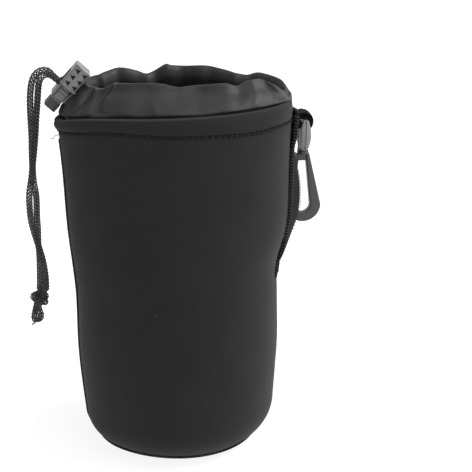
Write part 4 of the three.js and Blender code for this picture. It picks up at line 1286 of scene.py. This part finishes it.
def bar_tack(top, height, y_near, y_far, outer, count):
    """Dense zigzag of thread over a strap's end."""
    bm = new_mesh()
    line = []
    steps = count * 12
    for i in range(steps + 1):
        beat = (i / 12) % 1
        share = 2 * beat if beat < 0.5 else 2 - 2 * beat
        y = y_near + (y_far - y_near) * i / steps
        z = top - height * share
        line.append(Vector((outer(z, y) + 0.06 * sin(i), y, z)))
    draw_yarn(bm, frames_along(line), 0.6, 0.5, sides=5)
    return bm


tack_tops = {"top": strap_top - tack_inset,
             "bottom": strap_foot + tack_inset + tack_height}
for name, top in tack_tops.items():
    bm = bar_tack(top, tack_height, strap_near + tack_inset,
                  strap_near + strap_width - tack_inset,
                  lambda z, y: strap_x(z, y) + strap_thick + 0.3, 22)
    put("bar_tack_" + name, bm, sewing_thread, "pouch", "thread", "strap_tack_" + name)


# Hook tab
# A piece of narrow webbing, folded round the bar of the hook's eye and tacked to the
# body behind the strap, with a fuzzy cut end that curls down beside the eye.

tab_turn, tab_width, tab_thick = radians(-3), 10.0, 1.6
tab_root_y, tab_root_z, tab_reach = 18.8, 153.0, 23.2
tab_seat = 4 * clearance + 2 * thread_size + 2 * sag
tab_root_x = flank_x(tab_root_z, tab_root_y) + tab_seat
tab_out = Vector((cos(tab_turn), sin(tab_turn), 0))
tab_across = Vector((-sin(tab_turn), cos(tab_turn), 0))


def at_root(out, across, up):
    """Point of the tab: out from its root, across its width, up from its middle."""
    return (Vector((tab_root_x, tab_root_y, tab_root_z)) + tab_out * out
            + tab_across * across + Vector((0, 0, up)))


def draw_ribbon(bm, places, width, thick, step=0.5):
    """Sweep webbing with square edges along (out, up) places of the tab."""
    line = along_points([(out, up, 0) for out, up in places], step)
    count = len(line) - 1

    def place(u, v):
        k = round(u * count)
        ahead = (line[min(k + 1, count)] - line[max(k - 1, 0)]).normalized()
        angle = 2 * pi * v
        full = max(abs(cos(angle)), abs(sin(angle)))
        across, out = cos(angle) / full, sin(angle) / full
        rib = 0.07 * cos(2 * pi * k * step / rib_pitch)
        off = (thick / 2 * (1 - 0.3 * max(0, abs(across) - 0.85) / 0.15) + rib) * out
        here = line[k] + Vector((-ahead.y, ahead.x, 0)) * off
        return at_root(here.x, (width / 2 + rib) * across, here.y)

    laid_grid(bm, count, 40, place, lambda u, v: (2 * (width + thick) * v, count * step * u))
    close_ends(bm)


bm = new_mesh()
bar_out, bar_up, fold_radius = tab_reach, -0.6, 2.45
tab_line = [(0.9, -0.9), (8, -0.8), (15, -1.1), (19, -2.2), (21.3, -3.2)]
for degrees in (-82, -50, -15, 20, 55, 88, 115):
    turn = radians(degrees)
    tab_line.append((bar_out + fold_radius * cos(turn), bar_up + fold_radius * sin(turn)))
tab_line += [(20.0, 1.6), (16, 1.1), (8, 0.9), (0.9, 0.85)]
draw_ribbon(bm, tab_line, tab_width, tab_thick)


def plate_place(u, v):
    """The tab's end, spread flat against the body under its tack."""
    angle = 2 * pi * v
    full = max(abs(cos(angle)), abs(sin(angle)))
    y = tab_root_y + 4.5 * cos(angle) / full
    z = tab_root_z + 4 - 8 * u
    return Vector((flank_x(z, y) + tab_seat + tab_thick * (0.5 + 0.5 * sin(angle) / full), y, z))


laid_grid(bm, 24, 40, plate_place, lambda u, v: (21 * v, 8 * u))
close_ends(bm)
# The cut end curls over the fold and down beyond it, and loose fibres stand off it.
curl = [(10.5, 1.7), (14, 2.2), (18.2, 2.9), (bar_out - 2.6, bar_up + 4.0),
        (bar_out - 1.0, bar_up + 4.3), (bar_out + 1.0, bar_up + 4.0),
        (bar_out + 2.9, bar_up + 2.6), (bar_out + 3.6, bar_up + 0.6),
        (bar_out + 3.2, bar_up - 1.6), (bar_out + 2.2, bar_up - 3.4)]
draw_ribbon(bm, curl, tab_width - 0.6, 1.1)
for k in range(220):
    share = (k * 0.618) % 1
    side = -1 if k % 3 else 1
    spot = along_points([(out, up, 0) for out, up in (tab_line[3:] if k % 2 else curl)], 0.5)
    here = spot[int(share * (len(spot) - 1))]
    lean = Vector((noise.noise(Vector((k, 0, 0)) * 1.7), noise.noise(Vector((0, k, 3)) * 1.3),
                   noise.noise(Vector((5, 2, k)) * 1.9)))
    start = at_root(here.x + 0.5 * lean.x, side * (tab_width / 2 - 0.1), here.y + 0.7 * lean.z)
    tip = start + tab_across * side * (0.5 + 0.5 * abs(lean.y)) + 1.3 * lean
    draw_yarn(bm, frames_along([start, (start + tip) / 2 + 0.2 * lean, tip]), 0.1, 0.1, sides=3)
put("webbing_tab", bm, webbing, "pouch", "webbing", "hook_tab", sharp=80)

bm = bar_tack(tab_root_z + 3.7, 1.6, tab_root_y - 3.4, tab_root_y + 3.4,
              lambda z, y: flank_x(z, y) + tab_seat + tab_thick + 0.5, 12)
put("tab_bar_tack", bm, sewing_thread, "pouch", "thread", "tab_tack")


# Swivel hook
# A die-cast eye whose two rails part round the tab, and a flat hook with a sprung gate
# that turns in the eye's foot. The castings are painted grey.

eye_paint = moulded("eye_paint", 0.24, 0.42, 0.36, metal=0.2)
hook_paint = moulded("hook_paint", 0.055, 0.42, 0.075, metal=0.2)
bar_place = at_root(bar_out, 0, bar_up)


def in_eye(out, across, up):
    """Point of the eye, from the middle of its bar."""
    return bar_place + tab_out * out + tab_across * across + Vector((0, 0, up))


# Half the thickness of the eye's rails by height, their section and their run, from
# the end of the bar at one side down round the foot to the other.
rail_heights = [-13.2, -12.0, -9.0, -5.6, -2.0, 1.5]
rail_half = [1.95, 2.2, 2.7, 2.9, 2.35, 1.4]
rail_section = [(1, 0), (0.94, 0.6), (0.7, 1), (0.16, 1.06), (0.05, 0.62), (-0.05, 0.62),
                (-0.16, 1.06), (-0.7, 1), (-0.94, 0.6), (-1, 0), (-0.8, -0.9), (0, -1),
                (0.8, -0.9)]
rail_path = [(-6.65, 1.5), (-6.7, -1.0), (-6.7, -4.5), (-6.45, -7.5), (-5.9, -10.0),
             (-5.0, -11.6), (-3.6, -12.4), (0, -12.6)]
rail_path += [(-across, up) for across, up in rail_path[-2::-1]]
bm = new_mesh()
path = along_points([(across, up, 0) for across, up in rail_path], 0.35)


def rail_place(u, v):
    k = round(u * (len(path) - 1))
    ahead = (path[min(k + 1, len(path) - 1)] - path[max(k - 1, 0)]).normalized()
    out, over = rail_section[round(v * len(rail_section)) % len(rail_section)]
    here = path[k] + Vector((ahead.y, -ahead.x, 0)) * over * 1.1
    near_end = min(k, len(path) - 1 - k)
    full = 1 - 0.3 * max(0, 1 - near_end / 3) ** 2
    return in_eye(out * full * smooth_at(rail_heights, rail_half, path[k].y), here.x, here.y)


laid_grid(bm, len(path) - 1, len(rail_section), rail_place)
close_ends(bm)
barrel_line = [(2.65, -14.3), (2.65, -13.25), (2.3, -13.15), (2.3, -12.85), (2.6, -12.75),
               (2.6, -10.5), (2.4, -10.25), (1.45, -10.25), (1.45, -14.5), (2.45, -14.5)]


def barrel_turned(u, v):
    radius, up = barrel_line[round(v * len(barrel_line)) % len(barrel_line)]
    return in_eye(radius * cos(2 * pi * u), radius * sin(2 * pi * u), up)


laid_grid(bm, 40, len(barrel_line), barrel_turned)
rod = bmesh.ops.create_cone(bm, cap_ends=True, segments=24, radius1=1.2, radius2=1.2,
                            depth=12.6)
for point in rod["verts"]:
    point.co = in_eye(point.co.x, point.co.z, point.co.y)
put("swivel_eye", bm, eye_paint, "eye", "hook_metal", "hook_eye", sharp=32)

for name in ("hook_body", "hook_gate", "gate_pin"):
    refinish(name, hook_paint)
refinish("gate_spring", spring_steel)
